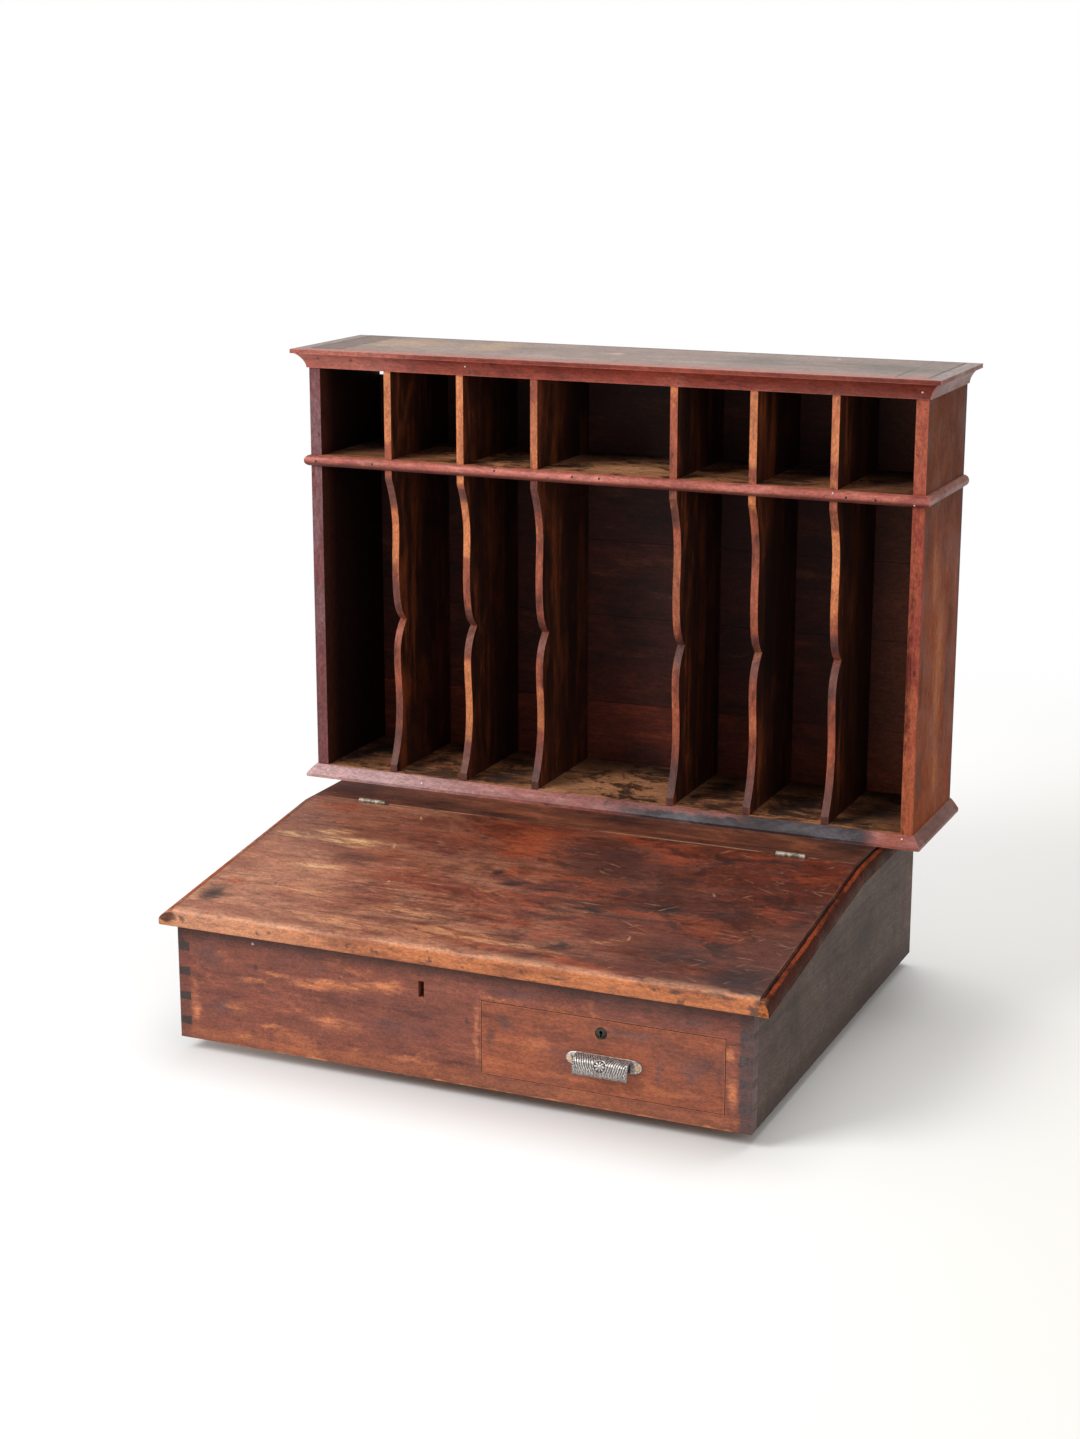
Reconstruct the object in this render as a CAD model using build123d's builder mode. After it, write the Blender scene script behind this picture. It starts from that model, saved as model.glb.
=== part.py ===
from build123d import *
from math import atan2, cos, sin, tan
import os

# Slant-top counter desk with one drawer, and a pigeonhole hutch that stands on its hinge rail.
# Millimetres. X runs left to right, Y front to back, Z up, floor at Z = 0.
# The origin is under the middle of the footprint's bounding box.

# ---------------------------------------------------------------- desk box
desk_width = 680.5
desk_depth = 601.0
desk_height = 198.0          # underside of the box to the top of the hinge rail
desk_offset = -5.0           # the hutch was set down a little to the right of the desk
side_thickness = 14.4
front_thickness = 16.0
back_thickness = 15.0
bottom_thickness = 10.0

# Two battens keep the box clear of the floor.
batten_height = 15.0
batten_width = 45.0
batten_setback = 55.0
batten_inset = 50.0
batten_nose = 9.0

# Through dovetails at the two front corners.
pin_count = 4
left_lowest_pin = 20.8
left_pin_pitch = 29.3
right_lowest_pin = 28.0
right_pin_pitch = 26.0
pin_outer_height = 8.5
pin_inner_height = 10.5

# ---------------------------------------------------------------- lid and hinge rail
lid_stock = 22.0             # board that the lid and the hinge rail are cut from
lid_run = 333.5              # seam to front edge, measured level
lid_drop = 43.8
lid_side_overhang = 18.4
lid_front_overhang = 12.0
lid_rest_gap = 0.4
seam_gap = 0.8
nose_top_radius = 8.0
nose_bottom_radius = 4.0
edge_step = 3.5              # square step of the moulded ends
left_edge_width = 18.4       # quarter oval under the step: way out at each end, and way down
right_edge_width = 9.6
edge_fall = 13.0

# ---------------------------------------------------------------- hinges
hinge_length = 35.0
hinge_left_x = -260.0        # from the middle of the desk
hinge_right_x = 272.0
knuckle_count = 5
knuckle_radius = 3.0
knuckle_rise = 1.0
knuckle_gap = 0.3
hinge_pin_radius = 1.25
hinge_pin_play = 0.05
leaf_thickness = 1.4
leaf_height = 18.0
leaf_gap = 0.3
barrel_relief = 0.5
hinge_end_play = 0.4
left_seat_overrun = 4.0      # the left hinge's mortise was cut too long towards the middle

# ---------------------------------------------------------------- lid lock
keyhole_x = -36.5            # from the middle of the desk
keyhole_drop = 21.8          # top of the cut in the front below the front's outer top edge
keyhole_cut_width = 6.8      # the front has a plain upright cut; the round eye is the lock's own
keyhole_cut_height = 18.2
keyhole_radius = 3.2
keyhole_slot_width = 4.2
keyhole_height = 16.0
lock_width = 62.0
lock_height = 52.0
lock_depth = 15.0
lock_slot_length = 12.0
lock_slot_width = 8.0
lock_slot_depth = 12.0
link_spacing = 34.0
link_plate_width = 56.0
link_plate_depth = 13.0
link_plate_thickness = 2.0
link_tongue_length = 10.0
link_tongue_thickness = 2.4
link_tongue_height = 9.0

# ---------------------------------------------------------------- drawer and its housing
drawer_width = 275.0
drawer_height = 82.5
drawer_right_margin = 30.0
drawer_bottom_margin = 17.5
drawer_gap = 0.8
drawer_length = 420.0
drawer_front_thickness = 16.0
drawer_wall = 9.0
drawer_lip = 7.0             # wood left in front of the rabbets that take the drawer sides
drawer_side_height = 74.0
drawer_bottom_thickness = 5.0
drawer_bottom_raise = 7.0
drawer_groove = 4.0
runner_width = 16.0
runner_play = 0.3
partition_thickness = 10.0
dust_board_thickness = 8.0
rear_wall_thickness = 10.0
rear_wall_gap = 5.0

# ---------------------------------------------------------------- drawer hardware
pull_offset = 3.5            # pull sits right of the drawer's middle
pull_height = 35.5           # plate centre above the bottom edge of the drawer front
screw_spacing = 76.0
plate_half_height = 7.7
plate_thickness = 1.6
ear_length = 12.0            # plate past each end of the hood
hood_width = 62.0
hood_depth = 12.4
hood_height = 20.5
hood_wall = 1.6
hood_shoulder = 9.0
hood_fullness = 0.6
rim_radius = 1.4
rim_proud = 0.6
screw_head_radius = 3.2
screw_head_height = 1.8
screw_head_round = 1.2
screw_slot = 0.7
screw_shank_radius = 1.6
screw_length = 11.0
screw_play = 0.05
escutcheon_radius = 6.8
escutcheon_thickness = 2.6
escutcheon_proud = 0.5
escutcheon_drop = 15.0       # centre below the top edge of the drawer front
escutcheon_eye = 2.0
escutcheon_slot_drop = 4.6
drawer_lock_width = 44.0
drawer_lock_height = 36.0
drawer_lock_depth = 10.0
drawer_lock_drop = 1.5
key_hole_radius = 2.6

# ---------------------------------------------------------------- hutch
hutch_width = 770.0
hutch_depth = 167.0
hutch_height = 536.0
hutch_setback = 405.0        # from the front of the desk box
hutch_side_thickness = 14.4
hutch_top_thickness = 14.0
hutch_bottom_thickness = 15.0
shelf_thickness = 13.5
shelf_height = 400.0         # middle of the shelf above the hinge rail
divider_thickness = 9.0
divider_pitch = 96.0
centre_bay = 166.0
narrow_bays = 3              # on each side of the centre bay
dado_depth = 3.0
plank_thickness = 9.0
plank_rabbet = 7.0
plank_gap = 0.6
low_plank_seams = [92.0, 203.0, 298.0]
top_seam_rise = 8.0          # top plank's lower edge above the middle of the shelf
chip_width = 12.0
chip_height = 34.5

# Scalloped front edge of the tall dividers: depth behind the front, and height.
foot_depth = 2.5
foot_height = 9.0
lower_hollow_depth = 21.0
lower_hollow_height = 84.0
lower_belly_depth = 16.8
lower_belly_height = 146.0
cusp_depth = 36.0
cusp_height = 189.0
upper_belly_depth = 15.4
upper_belly_drop = 128.0     # drops are measured from the underside of the shelf
upper_hollow_depth = 17.6
upper_hollow_drop = 74.0
shoulder_drop = 10.0

# ---------------------------------------------------------------- hutch mouldings
crown_height = 23.0
crown_reach = 17.0
crown_lip = 5.0
crown_lip_step = 2.5
crown_foot = 2.5
bead_reach = 6.75
base_reach = 11.0
base_toe = 3.5
base_shoulder = 1.5
base_swell = 0.5

# ---------------------------------------------------------------- derived places
hood_reach = plate_thickness + hood_depth
front_reach = max(hood_reach, lid_front_overhang)
back_y = (desk_depth + front_reach) / 2
front_y = back_y - desk_depth
seam_y = front_y - lid_front_overhang + lid_run
box_z = batten_height
rail_z = box_z + desk_height

desk_left = desk_offset - desk_width / 2
desk_right = desk_offset + desk_width / 2
inner_left = desk_left + side_thickness
inner_right = desk_right - side_thickness
inner_front = front_y + front_thickness
inner_back = back_y - back_thickness

lid_slope = atan2(lid_drop, lid_run)
lid_fall = lid_stock / cos(lid_slope)
lid_half = desk_width / 2 + lid_side_overhang
lid_normal = (0, -sin(lid_slope), cos(lid_slope))
lid_forward = (0, -cos(lid_slope), -sin(lid_slope))
hinge_z = rail_z + knuckle_rise
leaf_outer = leaf_gap / 2 + leaf_thickness
hinge_centres = [desk_offset + hinge_left_x, desk_offset + hinge_right_x]

drawer_x = desk_right - drawer_right_margin - drawer_width / 2
drawer_left = drawer_x - drawer_width / 2
drawer_right = drawer_x + drawer_width / 2
drawer_z = box_z + drawer_bottom_margin
drawer_top = drawer_z + drawer_height
opening_left = drawer_left - drawer_gap
opening_right = drawer_right + drawer_gap
opening_bottom = drawer_z - drawer_gap
opening_top = drawer_top + drawer_gap
floor_z = box_z + bottom_thickness
dust_z = opening_top
drawer_back_y = front_y + drawer_length
rear_wall_y = drawer_back_y + rear_wall_gap

hutch_half = hutch_width / 2
hutch_front = front_y + hutch_setback
hutch_back = hutch_front + hutch_depth
hutch_inner = hutch_half - hutch_side_thickness
plank_y = hutch_back - plank_thickness
hutch_top_z = rail_z + hutch_height
top_board_z = hutch_top_z - hutch_top_thickness
bottom_board_z = rail_z + hutch_bottom_thickness
shelf_bottom_z = rail_z + shelf_height - shelf_thickness / 2
shelf_top_z = rail_z + shelf_height + shelf_thickness / 2
first_divider = centre_bay / 2 + divider_thickness / 2
divider_centres = [first_divider + n * divider_pitch for n in range(narrow_bays)]
divider_centres = [-x for x in reversed(divider_centres)] + divider_centres

os.makedirs("parts", exist_ok=True)


def save(block, label):
    block.part.label = label
    export_step(block.part, f"parts/{label}.step")


def under_lid(y):
    """Height of the box's sloping top edge at depth y, just under the closed lid."""
    return rail_z - (seam_y - y) * tan(lid_slope) - lid_fall - lid_rest_gap


def span(u_low, u_high, v_low, v_high, mode=Mode.ADD):
    """A rectangle between two pairs of limits on the sketch's own axes."""
    with Locations(((u_low + u_high) / 2, (v_low + v_high) / 2)):
        Rectangle(u_high - u_low, v_high - v_low, mode=mode)


def board(x_low, x_high, y_low, y_high, z_low, z_high):
    """A plain sawn board between its limits."""
    with BuildPart() as plain:
        with BuildSketch(Plane.XY.offset(z_low)):
            span(x_low, x_high, y_low, y_high)
        extrude(amount=z_high - z_low)
    return plain


# ================================================================ desk box
def pin_outline(outer_x, inner_x, lowest_pin, pin_pitch):
    """Wedge-shaped ends of the side board's pins, seen on the face of the front."""
    for number in range(pin_count):
        middle = box_z + lowest_pin + number * pin_pitch
        corners = [
            (outer_x, middle - pin_outer_height / 2),
            (inner_x, middle - pin_inner_height / 2),
            (inner_x, middle + pin_inner_height / 2),
            (outer_x, middle + pin_outer_height / 2),
        ]
        Polygon(*corners, align=None)


def keyhole(centre_x, top_z, radius, slot_width, height):
    """A round eye over a straight slot, on an XZ sketch whose x axis runs with X."""
    with Locations((centre_x, top_z - radius)):
        Circle(radius)
    span(centre_x - slot_width / 2, centre_x + slot_width / 2, top_z - height, top_z - radius)


# The front plane's sketches look along +Y from the front: x is X, y is Z.
front_plane = Plane(origin=(0, front_y, 0), x_dir=(1, 0, 0), z_dir=(0, -1, 0))
cut_x = desk_offset + keyhole_x
cut_top = under_lid(front_y) - keyhole_drop
keyhole_top = cut_top - (keyhole_cut_height - keyhole_height) / 2

with BuildPart() as desk_front:
    with BuildSketch(Plane.YZ.offset(desk_left)):
        with BuildLine():
            Polyline(
                (front_y, box_z),
                (inner_front, box_z),
                (inner_front, under_lid(inner_front)),
                (front_y, under_lid(front_y)),
                close=True,
            )
        make_face()
    extrude(amount=desk_width)
    with BuildSketch(front_plane):
        span(opening_left, opening_right, opening_bottom, opening_top)
        span(cut_x - keyhole_cut_width / 2, cut_x + keyhole_cut_width / 2, cut_top - keyhole_cut_height, cut_top)
        pin_outline(desk_left, inner_left, left_lowest_pin, left_pin_pitch)
        pin_outline(desk_right, inner_right, right_lowest_pin, right_pin_pitch)
    extrude(amount=-front_thickness, mode=Mode.SUBTRACT)
save(desk_front, "desk_front")

for label, outer_x, inner_x, lowest_pin, pin_pitch in (
    ("desk_side_left", desk_left, inner_left, left_lowest_pin, left_pin_pitch),
    ("desk_side_right", desk_right, inner_right, right_lowest_pin, right_pin_pitch),
):
    with BuildPart() as desk_side:
        with BuildSketch(Plane.YZ.offset(min(outer_x, inner_x))):
            with BuildLine():
                Polyline(
                    (inner_front, box_z),
                    (inner_back, box_z),
                    (inner_back, rail_z - lid_stock),
                    (seam_y, rail_z - lid_stock),
                    (seam_y, under_lid(seam_y)),
                    (inner_front, under_lid(inner_front)),
                    close=True,
                )
            make_face()
        extrude(amount=side_thickness)
        with BuildSketch(front_plane):
            pin_outline(outer_x, inner_x, lowest_pin, pin_pitch)
        extrude(amount=-front_thickness)
    save(desk_side, label)

desk_back = board(desk_left, desk_right, inner_back, back_y, box_z, rail_z - lid_stock)
save(desk_back, "desk_back")

desk_bottom = board(inner_left, inner_right, inner_front, inner_back, box_z, floor_z)
save(desk_bottom, "desk_bottom")

for label, low_x in (
    ("floor_batten_left", desk_left + batten_inset),
    ("floor_batten_right", desk_right - batten_inset - batten_width),
):
    with BuildPart() as floor_batten:
        with BuildSketch(Plane.XY):
            span(low_x, low_x + batten_width, front_y + batten_setback, back_y)
        extrude(amount=batten_height)
        ends = floor_batten.edges().filter_by(Axis.X).group_by(Axis.Z)[0]
        chamfer(ends, length=batten_nose)
    save(floor_batten, label)

# ================================================================ lid and hinge rail
def end_moulding():
    """What the plane takes off both ends of a board: a square step, then a quarter oval."""
    outer = lid_half + lid_stock
    foot = -edge_step - edge_fall
    span(lid_half - right_edge_width, outer, foot, lid_stock)
    span(-outer, left_edge_width - lid_half, foot, lid_stock)
    with Locations((lid_half - right_edge_width, foot)):
        Ellipse(right_edge_width, edge_fall, mode=Mode.SUBTRACT)
    with Locations((left_edge_width - lid_half, foot)):
        Ellipse(left_edge_width, edge_fall, mode=Mode.SUBTRACT)


def hinge_seats():
    """Mortises for the leaves and relief for the barrels, cut from the board being built."""
    seat_length = hinge_length + 2 * hinge_end_play
    seat_height = leaf_height + hinge_end_play
    for centre_x in hinge_centres:
        with Locations((centre_x, seam_y, rail_z - seat_height / 2)):
            Box(seat_length, 2 * leaf_outer, seat_height, mode=Mode.SUBTRACT)
        with Locations((centre_x, seam_y, hinge_z)):
            Cylinder(knuckle_radius + barrel_relief, seat_length, rotation=(0, 90, 0), mode=Mode.SUBTRACT)
    overrun_x = hinge_centres[0] + (seat_length + left_seat_overrun) / 2
    with Locations((overrun_x, seam_y, rail_z - seat_height / 2)):
        Box(left_seat_overrun, 2 * leaf_outer, seat_height, mode=Mode.SUBTRACT)


rail_front = seam_y + seam_gap / 2
rail_plane = Plane(origin=(desk_offset, rail_front, rail_z), x_dir=(1, 0, 0), z_dir=(0, -1, 0))
with BuildPart() as hinge_rail:
    with BuildSketch(Plane.XY.offset(rail_z)):
        span(desk_offset - lid_half, desk_offset + lid_half, rail_front, back_y)
    extrude(amount=-lid_stock)
    with BuildSketch(rail_plane):
        end_moulding()
    extrude(amount=-(back_y - rail_front), mode=Mode.SUBTRACT)
    hinge_seats()
save(hinge_rail, "hinge_rail")

lid_back = seam_y - seam_gap / 2
lid_back_z = rail_z - seam_gap / 2 * tan(lid_slope)
lid_front_y = front_y - lid_front_overhang
lid_front_z = rail_z - lid_drop
lid_plane = Plane(origin=(desk_offset, seam_y, rail_z), x_dir=(1, 0, 0), z_dir=lid_forward)

lock_x = desk_offset + keyhole_x
lock_y = inner_front + lock_depth / 2
lid_underside_z = under_lid(lock_y) + lid_rest_gap
underside = Plane(origin=(lock_x, lock_y, lid_underside_z), x_dir=(1, 0, 0), z_dir=lid_normal)

with BuildPart() as lid:
    with BuildSketch(Plane.YZ.offset(desk_offset - lid_half)) as lid_section:
        with BuildLine():
            Polyline(
                (lid_front_y, lid_front_z),
                (lid_back, lid_back_z),
                (lid_back, lid_back_z - lid_fall),
                (lid_front_y + lid_stock * sin(lid_slope), lid_front_z - lid_stock * cos(lid_slope)),
                close=True,
            )
        make_face()
        fillet(lid_section.vertices().sort_by(Axis.X)[0], radius=nose_top_radius)
        fillet(lid_section.vertices().sort_by(Axis.Y)[0], radius=nose_bottom_radius)
    extrude(amount=2 * lid_half)
    with BuildSketch(lid_plane):
        end_moulding()
    extrude(amount=lid_run + lid_drop, both=True, mode=Mode.SUBTRACT)
    hinge_seats()
    with BuildSketch(underside):
        Rectangle(link_plate_width, link_plate_depth)
    extrude(amount=link_plate_thickness, mode=Mode.SUBTRACT)
save(lid, "lid")

# ================================================================ butt hinges
knuckle_pitch = hinge_length / knuckle_count
leaf_top = hinge_z - hinge_pin_radius - leaf_thickness / 2
leaf_bottom = rail_z - leaf_height


def hinge_leaves(side, first_knuckle, bore_radius):
    """Both hinges' leaves on one side of the seam: side is +1 for the rail, -1 for the lid."""
    leaf_y = seam_y + side * (leaf_gap + leaf_thickness) / 2
    with BuildPart() as leaves:
        for centre_x in hinge_centres:
            start_x = centre_x - hinge_length / 2
            with BuildSketch(Plane.XY.offset(leaf_bottom)):
                with Locations((centre_x, leaf_y)):
                    Rectangle(hinge_length, leaf_thickness)
            extrude(amount=leaf_top - leaf_bottom)
            for number in range(1 - first_knuckle, knuckle_count, 2):
                with BuildSketch(Plane.YZ.offset(start_x + number * knuckle_pitch - knuckle_gap / 2)):
                    with Locations((seam_y, hinge_z)):
                        Circle(knuckle_radius + barrel_relief)
                extrude(amount=knuckle_pitch + knuckle_gap, mode=Mode.SUBTRACT)
            for number in range(first_knuckle, knuckle_count, 2):
                with BuildSketch(Plane.YZ.offset(start_x + number * knuckle_pitch + knuckle_gap / 2)):
                    with Locations((seam_y, hinge_z)):
                        Circle(knuckle_radius)
                extrude(amount=knuckle_pitch - knuckle_gap)
            with BuildSketch(Plane.YZ.offset(start_x)):
                with Locations((seam_y, hinge_z)):
                    Circle(bore_radius)
            extrude(amount=hinge_length, mode=Mode.SUBTRACT)
    return leaves


# The pin is tight in the rail's knuckles and turns freely in the lid's.
save(hinge_leaves(1, 0, hinge_pin_radius), "hinge_rail_leaves")
save(hinge_leaves(-1, 1, hinge_pin_radius + hinge_pin_play), "hinge_lid_leaves")

with BuildPart() as hinge_pins:
    for centre_x in hinge_centres:
        with BuildSketch(Plane.YZ.offset(centre_x - hinge_length / 2)):
            with Locations((seam_y, hinge_z)):
                Circle(hinge_pin_radius)
        extrude(amount=hinge_length)
save(hinge_pins, "hinge_pins")

# ================================================================ lid lock
lock_top = under_lid(inner_front)
link_places = [(-link_spacing / 2, 0), (link_spacing / 2, 0)]

with BuildPart() as lid_lock:
    with BuildSketch(Plane.XY.offset(lock_top)):
        with Locations((lock_x, lock_y)):
            Rectangle(lock_width, lock_depth)
    extrude(amount=-lock_height)
    with BuildSketch(Plane(origin=(lock_x, lock_y, lock_top))):
        with Locations(*link_places):
            Rectangle(lock_slot_length, lock_slot_width)
    extrude(amount=-lock_slot_depth, mode=Mode.SUBTRACT)
    with BuildSketch(front_plane.offset(-front_thickness)):
        keyhole(lock_x, keyhole_top, keyhole_radius, keyhole_slot_width, keyhole_height)
    extrude(amount=-lock_depth / 2, mode=Mode.SUBTRACT)
save(lid_lock, "lid_lock")

with BuildPart() as link_plate:
    with BuildSketch(underside):
        Rectangle(link_plate_width, link_plate_depth)
    extrude(amount=link_plate_thickness)
    with BuildSketch(underside):
        with Locations(*link_places):
            Rectangle(link_tongue_length, link_tongue_thickness)
    extrude(amount=-link_tongue_height)
save(link_plate, "lid_lock_link_plate")

# ================================================================ drawer housing
partition_left = opening_left - partition_thickness
runner_top = drawer_z - runner_play

drawer_partition = board(partition_left, opening_left, inner_front, rear_wall_y, floor_z, dust_z)
save(drawer_partition, "drawer_partition")

drawer_guide = board(opening_right, inner_right, inner_front, rear_wall_y, floor_z, dust_z)
save(drawer_guide, "drawer_guide_right")

rear_wall = board(partition_left, inner_right, rear_wall_y, rear_wall_y + rear_wall_thickness, floor_z, dust_z)
save(rear_wall, "drawer_rear_wall")

dust_back = rear_wall_y + rear_wall_thickness
dust_board = board(partition_left, inner_right, inner_front, dust_back, dust_z, dust_z + dust_board_thickness)
save(dust_board, "dust_board")

with BuildPart() as drawer_runners:
    with BuildSketch(Plane.XY.offset(floor_z)):
        span(opening_left, opening_left + runner_width, inner_front, rear_wall_y)
        span(opening_right - runner_width, opening_right, inner_front, rear_wall_y)
    extrude(amount=runner_top - floor_z)
save(drawer_runners, "drawer_runners")

# ================================================================ drawer
drawer_front_back = front_y + drawer_front_thickness
side_start = front_y + drawer_lip
bottom_z = drawer_z + drawer_bottom_raise
bottom_top = bottom_z + drawer_bottom_thickness
side_top = drawer_z + drawer_side_height
pull_x = drawer_x + pull_offset
pull_z = drawer_z + pull_height
screw_places = [(pull_x - screw_spacing / 2, pull_z), (pull_x + screw_spacing / 2, pull_z)]
escutcheon_z = drawer_top - escutcheon_drop
drawer_lock_top = drawer_top - drawer_lock_drop
drawer_lock_z = drawer_lock_top - drawer_lock_height
bottom_left = drawer_left + drawer_wall - drawer_groove
bottom_right = drawer_right - drawer_wall + drawer_groove
bottom_front = drawer_front_back - drawer_groove


def key_slot(radius, mode=Mode.ADD):
    """The drawer's keyhole: a round eye above the middle of the escutcheon and a slot below."""
    with Locations((drawer_x, escutcheon_z + radius / 2)):
        Circle(radius, mode=mode)
    slot_bottom = escutcheon_z - escutcheon_slot_drop
    span(drawer_x - radius / 2, drawer_x + radius / 2, slot_bottom, escutcheon_z, mode=mode)


with BuildPart() as drawer_front:
    with BuildSketch(front_plane):
        span(drawer_left, drawer_right, drawer_z, drawer_top)
    extrude(amount=-drawer_front_thickness)
    with BuildSketch(Plane.XY.offset(drawer_z)):
        span(drawer_left, drawer_left + drawer_wall, side_start, drawer_front_back)
        span(drawer_right - drawer_wall, drawer_right, side_start, drawer_front_back)
    extrude(amount=drawer_side_height, mode=Mode.SUBTRACT)
    with BuildSketch(Plane.XY.offset(bottom_z)):
        span(bottom_left, bottom_right, bottom_front, drawer_front_back)
    extrude(amount=drawer_bottom_thickness, mode=Mode.SUBTRACT)
    with BuildSketch(front_plane):
        with Locations((drawer_x, escutcheon_z)):
            Circle(escutcheon_radius)
    extrude(amount=-(escutcheon_thickness - escutcheon_proud), mode=Mode.SUBTRACT)
    with BuildSketch(front_plane):
        with Locations(*screw_places):
            Circle(screw_shank_radius)
    extrude(amount=-(screw_length - plate_thickness), mode=Mode.SUBTRACT)
    with BuildSketch(front_plane.offset(-drawer_front_thickness)):
        with Locations((drawer_x, drawer_lock_z + drawer_lock_height / 2)):
            Rectangle(drawer_lock_width, drawer_lock_height)
    extrude(amount=drawer_lock_depth, mode=Mode.SUBTRACT)
    with BuildSketch(front_plane):
        key_slot(key_hole_radius)
    extrude(amount=-drawer_front_thickness, mode=Mode.SUBTRACT)
save(drawer_front, "drawer_front")

for label, low_x in (
    ("drawer_side_left", drawer_left),
    ("drawer_side_right", drawer_right - drawer_wall),
):
    with BuildPart() as drawer_side:
        with BuildSketch(Plane.XY.offset(drawer_z)):
            span(low_x, low_x + drawer_wall, side_start, drawer_back_y)
        extrude(amount=drawer_side_height)
        with BuildSketch(Plane.XY.offset(bottom_z)):
            span(bottom_left, bottom_right, bottom_front, drawer_back_y)
        extrude(amount=drawer_bottom_thickness, mode=Mode.SUBTRACT)
    save(drawer_side, label)

drawer_inner_left = drawer_left + drawer_wall
drawer_inner_right = drawer_right - drawer_wall
drawer_back_start = drawer_back_y - drawer_wall
drawer_back = board(drawer_inner_left, drawer_inner_right, drawer_back_start, drawer_back_y, bottom_top, side_top)
save(drawer_back, "drawer_back")

drawer_bottom = board(bottom_left, bottom_right, bottom_front, drawer_back_y, bottom_z, bottom_top)
save(drawer_bottom, "drawer_bottom")

# ================================================================ drawer hardware
# The hood's end view: x is the way out from the drawer front, y is up.
hood_plane = Plane(origin=(pull_x - hood_width / 2, front_y, pull_z), x_dir=(0, -1, 0), z_dir=(-1, 0, 0))
hood_top = plate_half_height
hood_bottom = plate_half_height - hood_height
hood_face = hood_reach - rim_proud
hood_inside_top = hood_top - hood_wall


def hood_curve(reach, top):
    """The bend of the sheet, from the plate at the top round to the upright face."""
    half = hood_shoulder / 2
    Bezier((0, top), (reach * hood_fullness, top), (reach, top - half), (reach, top - hood_shoulder))



with BuildPart() as drawer_pull:
    with BuildSketch(front_plane):
        with Locations((pull_x, pull_z)):
            Rectangle(hood_width, 2 * plate_half_height)
        with Locations((pull_x - hood_width / 2, pull_z), (pull_x + hood_width / 2, pull_z)):
            Ellipse(ear_length, plate_half_height)
    extrude(amount=plate_thickness)
    with BuildSketch(hood_plane):
        with BuildLine():
            hood_curve(hood_face, hood_top)
            Line((hood_face, hood_top - hood_shoulder), (hood_face, hood_bottom))
            Line((hood_face, hood_bottom), (hood_face - hood_wall, hood_bottom))
            Line((hood_face - hood_wall, hood_bottom), (hood_face - hood_wall, hood_inside_top - hood_shoulder))
            hood_curve(hood_face - hood_wall, hood_inside_top)
            Line((0, hood_inside_top), (0, hood_top))
        make_face()
        with Locations((hood_reach - rim_radius, hood_bottom + rim_radius)):
            Circle(rim_radius)
    extrude(amount=-hood_width)
    with BuildSketch(front_plane):
        with Locations(*screw_places):
            Circle(screw_shank_radius + screw_play)
    extrude(amount=plate_thickness, mode=Mode.SUBTRACT)
save(drawer_pull, "drawer_pull")

with BuildPart() as pull_screws:
    with BuildSketch(front_plane.offset(plate_thickness)):
        with Locations(*screw_places):
            Circle(screw_head_radius)
    extrude(amount=screw_head_height)
    fillet(pull_screws.edges().group_by(Axis.Y)[0], radius=screw_head_round)
    with BuildSketch(front_plane.offset(plate_thickness)):
        with Locations(*screw_places):
            Circle(screw_shank_radius)
    extrude(amount=-screw_length)
    with BuildSketch(front_plane.offset(plate_thickness + screw_head_height)):
        with Locations(*screw_places):
            Rectangle(2 * screw_head_radius, screw_slot, rotation=35)
    extrude(amount=-screw_slot, mode=Mode.SUBTRACT)
save(pull_screws, "pull_screws")

with BuildPart() as escutcheon:
    with BuildSketch(front_plane.offset(escutcheon_proud)):
        with Locations((drawer_x, escutcheon_z)):
            Circle(escutcheon_radius)
        key_slot(escutcheon_eye, Mode.SUBTRACT)
    extrude(amount=-escutcheon_thickness)
save(escutcheon, "drawer_escutcheon")

with BuildPart() as drawer_lock:
    with BuildSketch(front_plane.offset(-drawer_front_thickness)):
        with Locations((drawer_x, drawer_lock_z + drawer_lock_height / 2)):
            Rectangle(drawer_lock_width, drawer_lock_height)
    extrude(amount=drawer_lock_depth)
    with BuildSketch(front_plane.offset(drawer_lock_depth - drawer_front_thickness)):
        key_slot(escutcheon_eye)
    extrude(amount=-drawer_lock_depth / 2, mode=Mode.SUBTRACT)
save(drawer_lock, "drawer_lock")

# ================================================================ hutch boards
def dado(centre_x, z_low, z_high):
    """A housing for one divider, cut from the board being built."""
    with Locations((centre_x, (hutch_front + plank_y) / 2, (z_low + z_high) / 2)):
        Box(divider_thickness, plank_y - hutch_front, z_high - z_low, mode=Mode.SUBTRACT)


for label, side in (("hutch_side_left", -1), ("hutch_side_right", 1)):
    with BuildPart() as hutch_side:
        with BuildSketch(Plane.XY.offset(rail_z)):
            with Locations((side * (hutch_half + hutch_inner) / 2, hutch_front + hutch_depth / 2)):
                Rectangle(hutch_side_thickness, hutch_depth)
            with Locations((side * (hutch_inner + plank_rabbet / 2), hutch_back - plank_thickness / 2)):
                Rectangle(plank_rabbet, plank_thickness, mode=Mode.SUBTRACT)
        extrude(amount=top_board_z - rail_z)
    save(hutch_side, label)

with BuildPart() as hutch_top:
    with BuildSketch(Plane.XY.offset(top_board_z)):
        span(-hutch_half, hutch_half, hutch_front, hutch_back)
    extrude(amount=hutch_top_thickness)
    for centre_x in divider_centres:
        dado(centre_x, top_board_z, top_board_z + dado_depth)
save(hutch_top, "hutch_top")

with BuildPart() as hutch_shelf:
    with BuildSketch(Plane.XY.offset(shelf_bottom_z)):
        span(-hutch_inner, hutch_inner, hutch_front, plank_y)
    extrude(amount=shelf_thickness)
    for centre_x in divider_centres:
        dado(centre_x, shelf_bottom_z, shelf_bottom_z + dado_depth)
        dado(centre_x, shelf_top_z - dado_depth, shelf_top_z)
save(hutch_shelf, "hutch_shelf")

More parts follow.
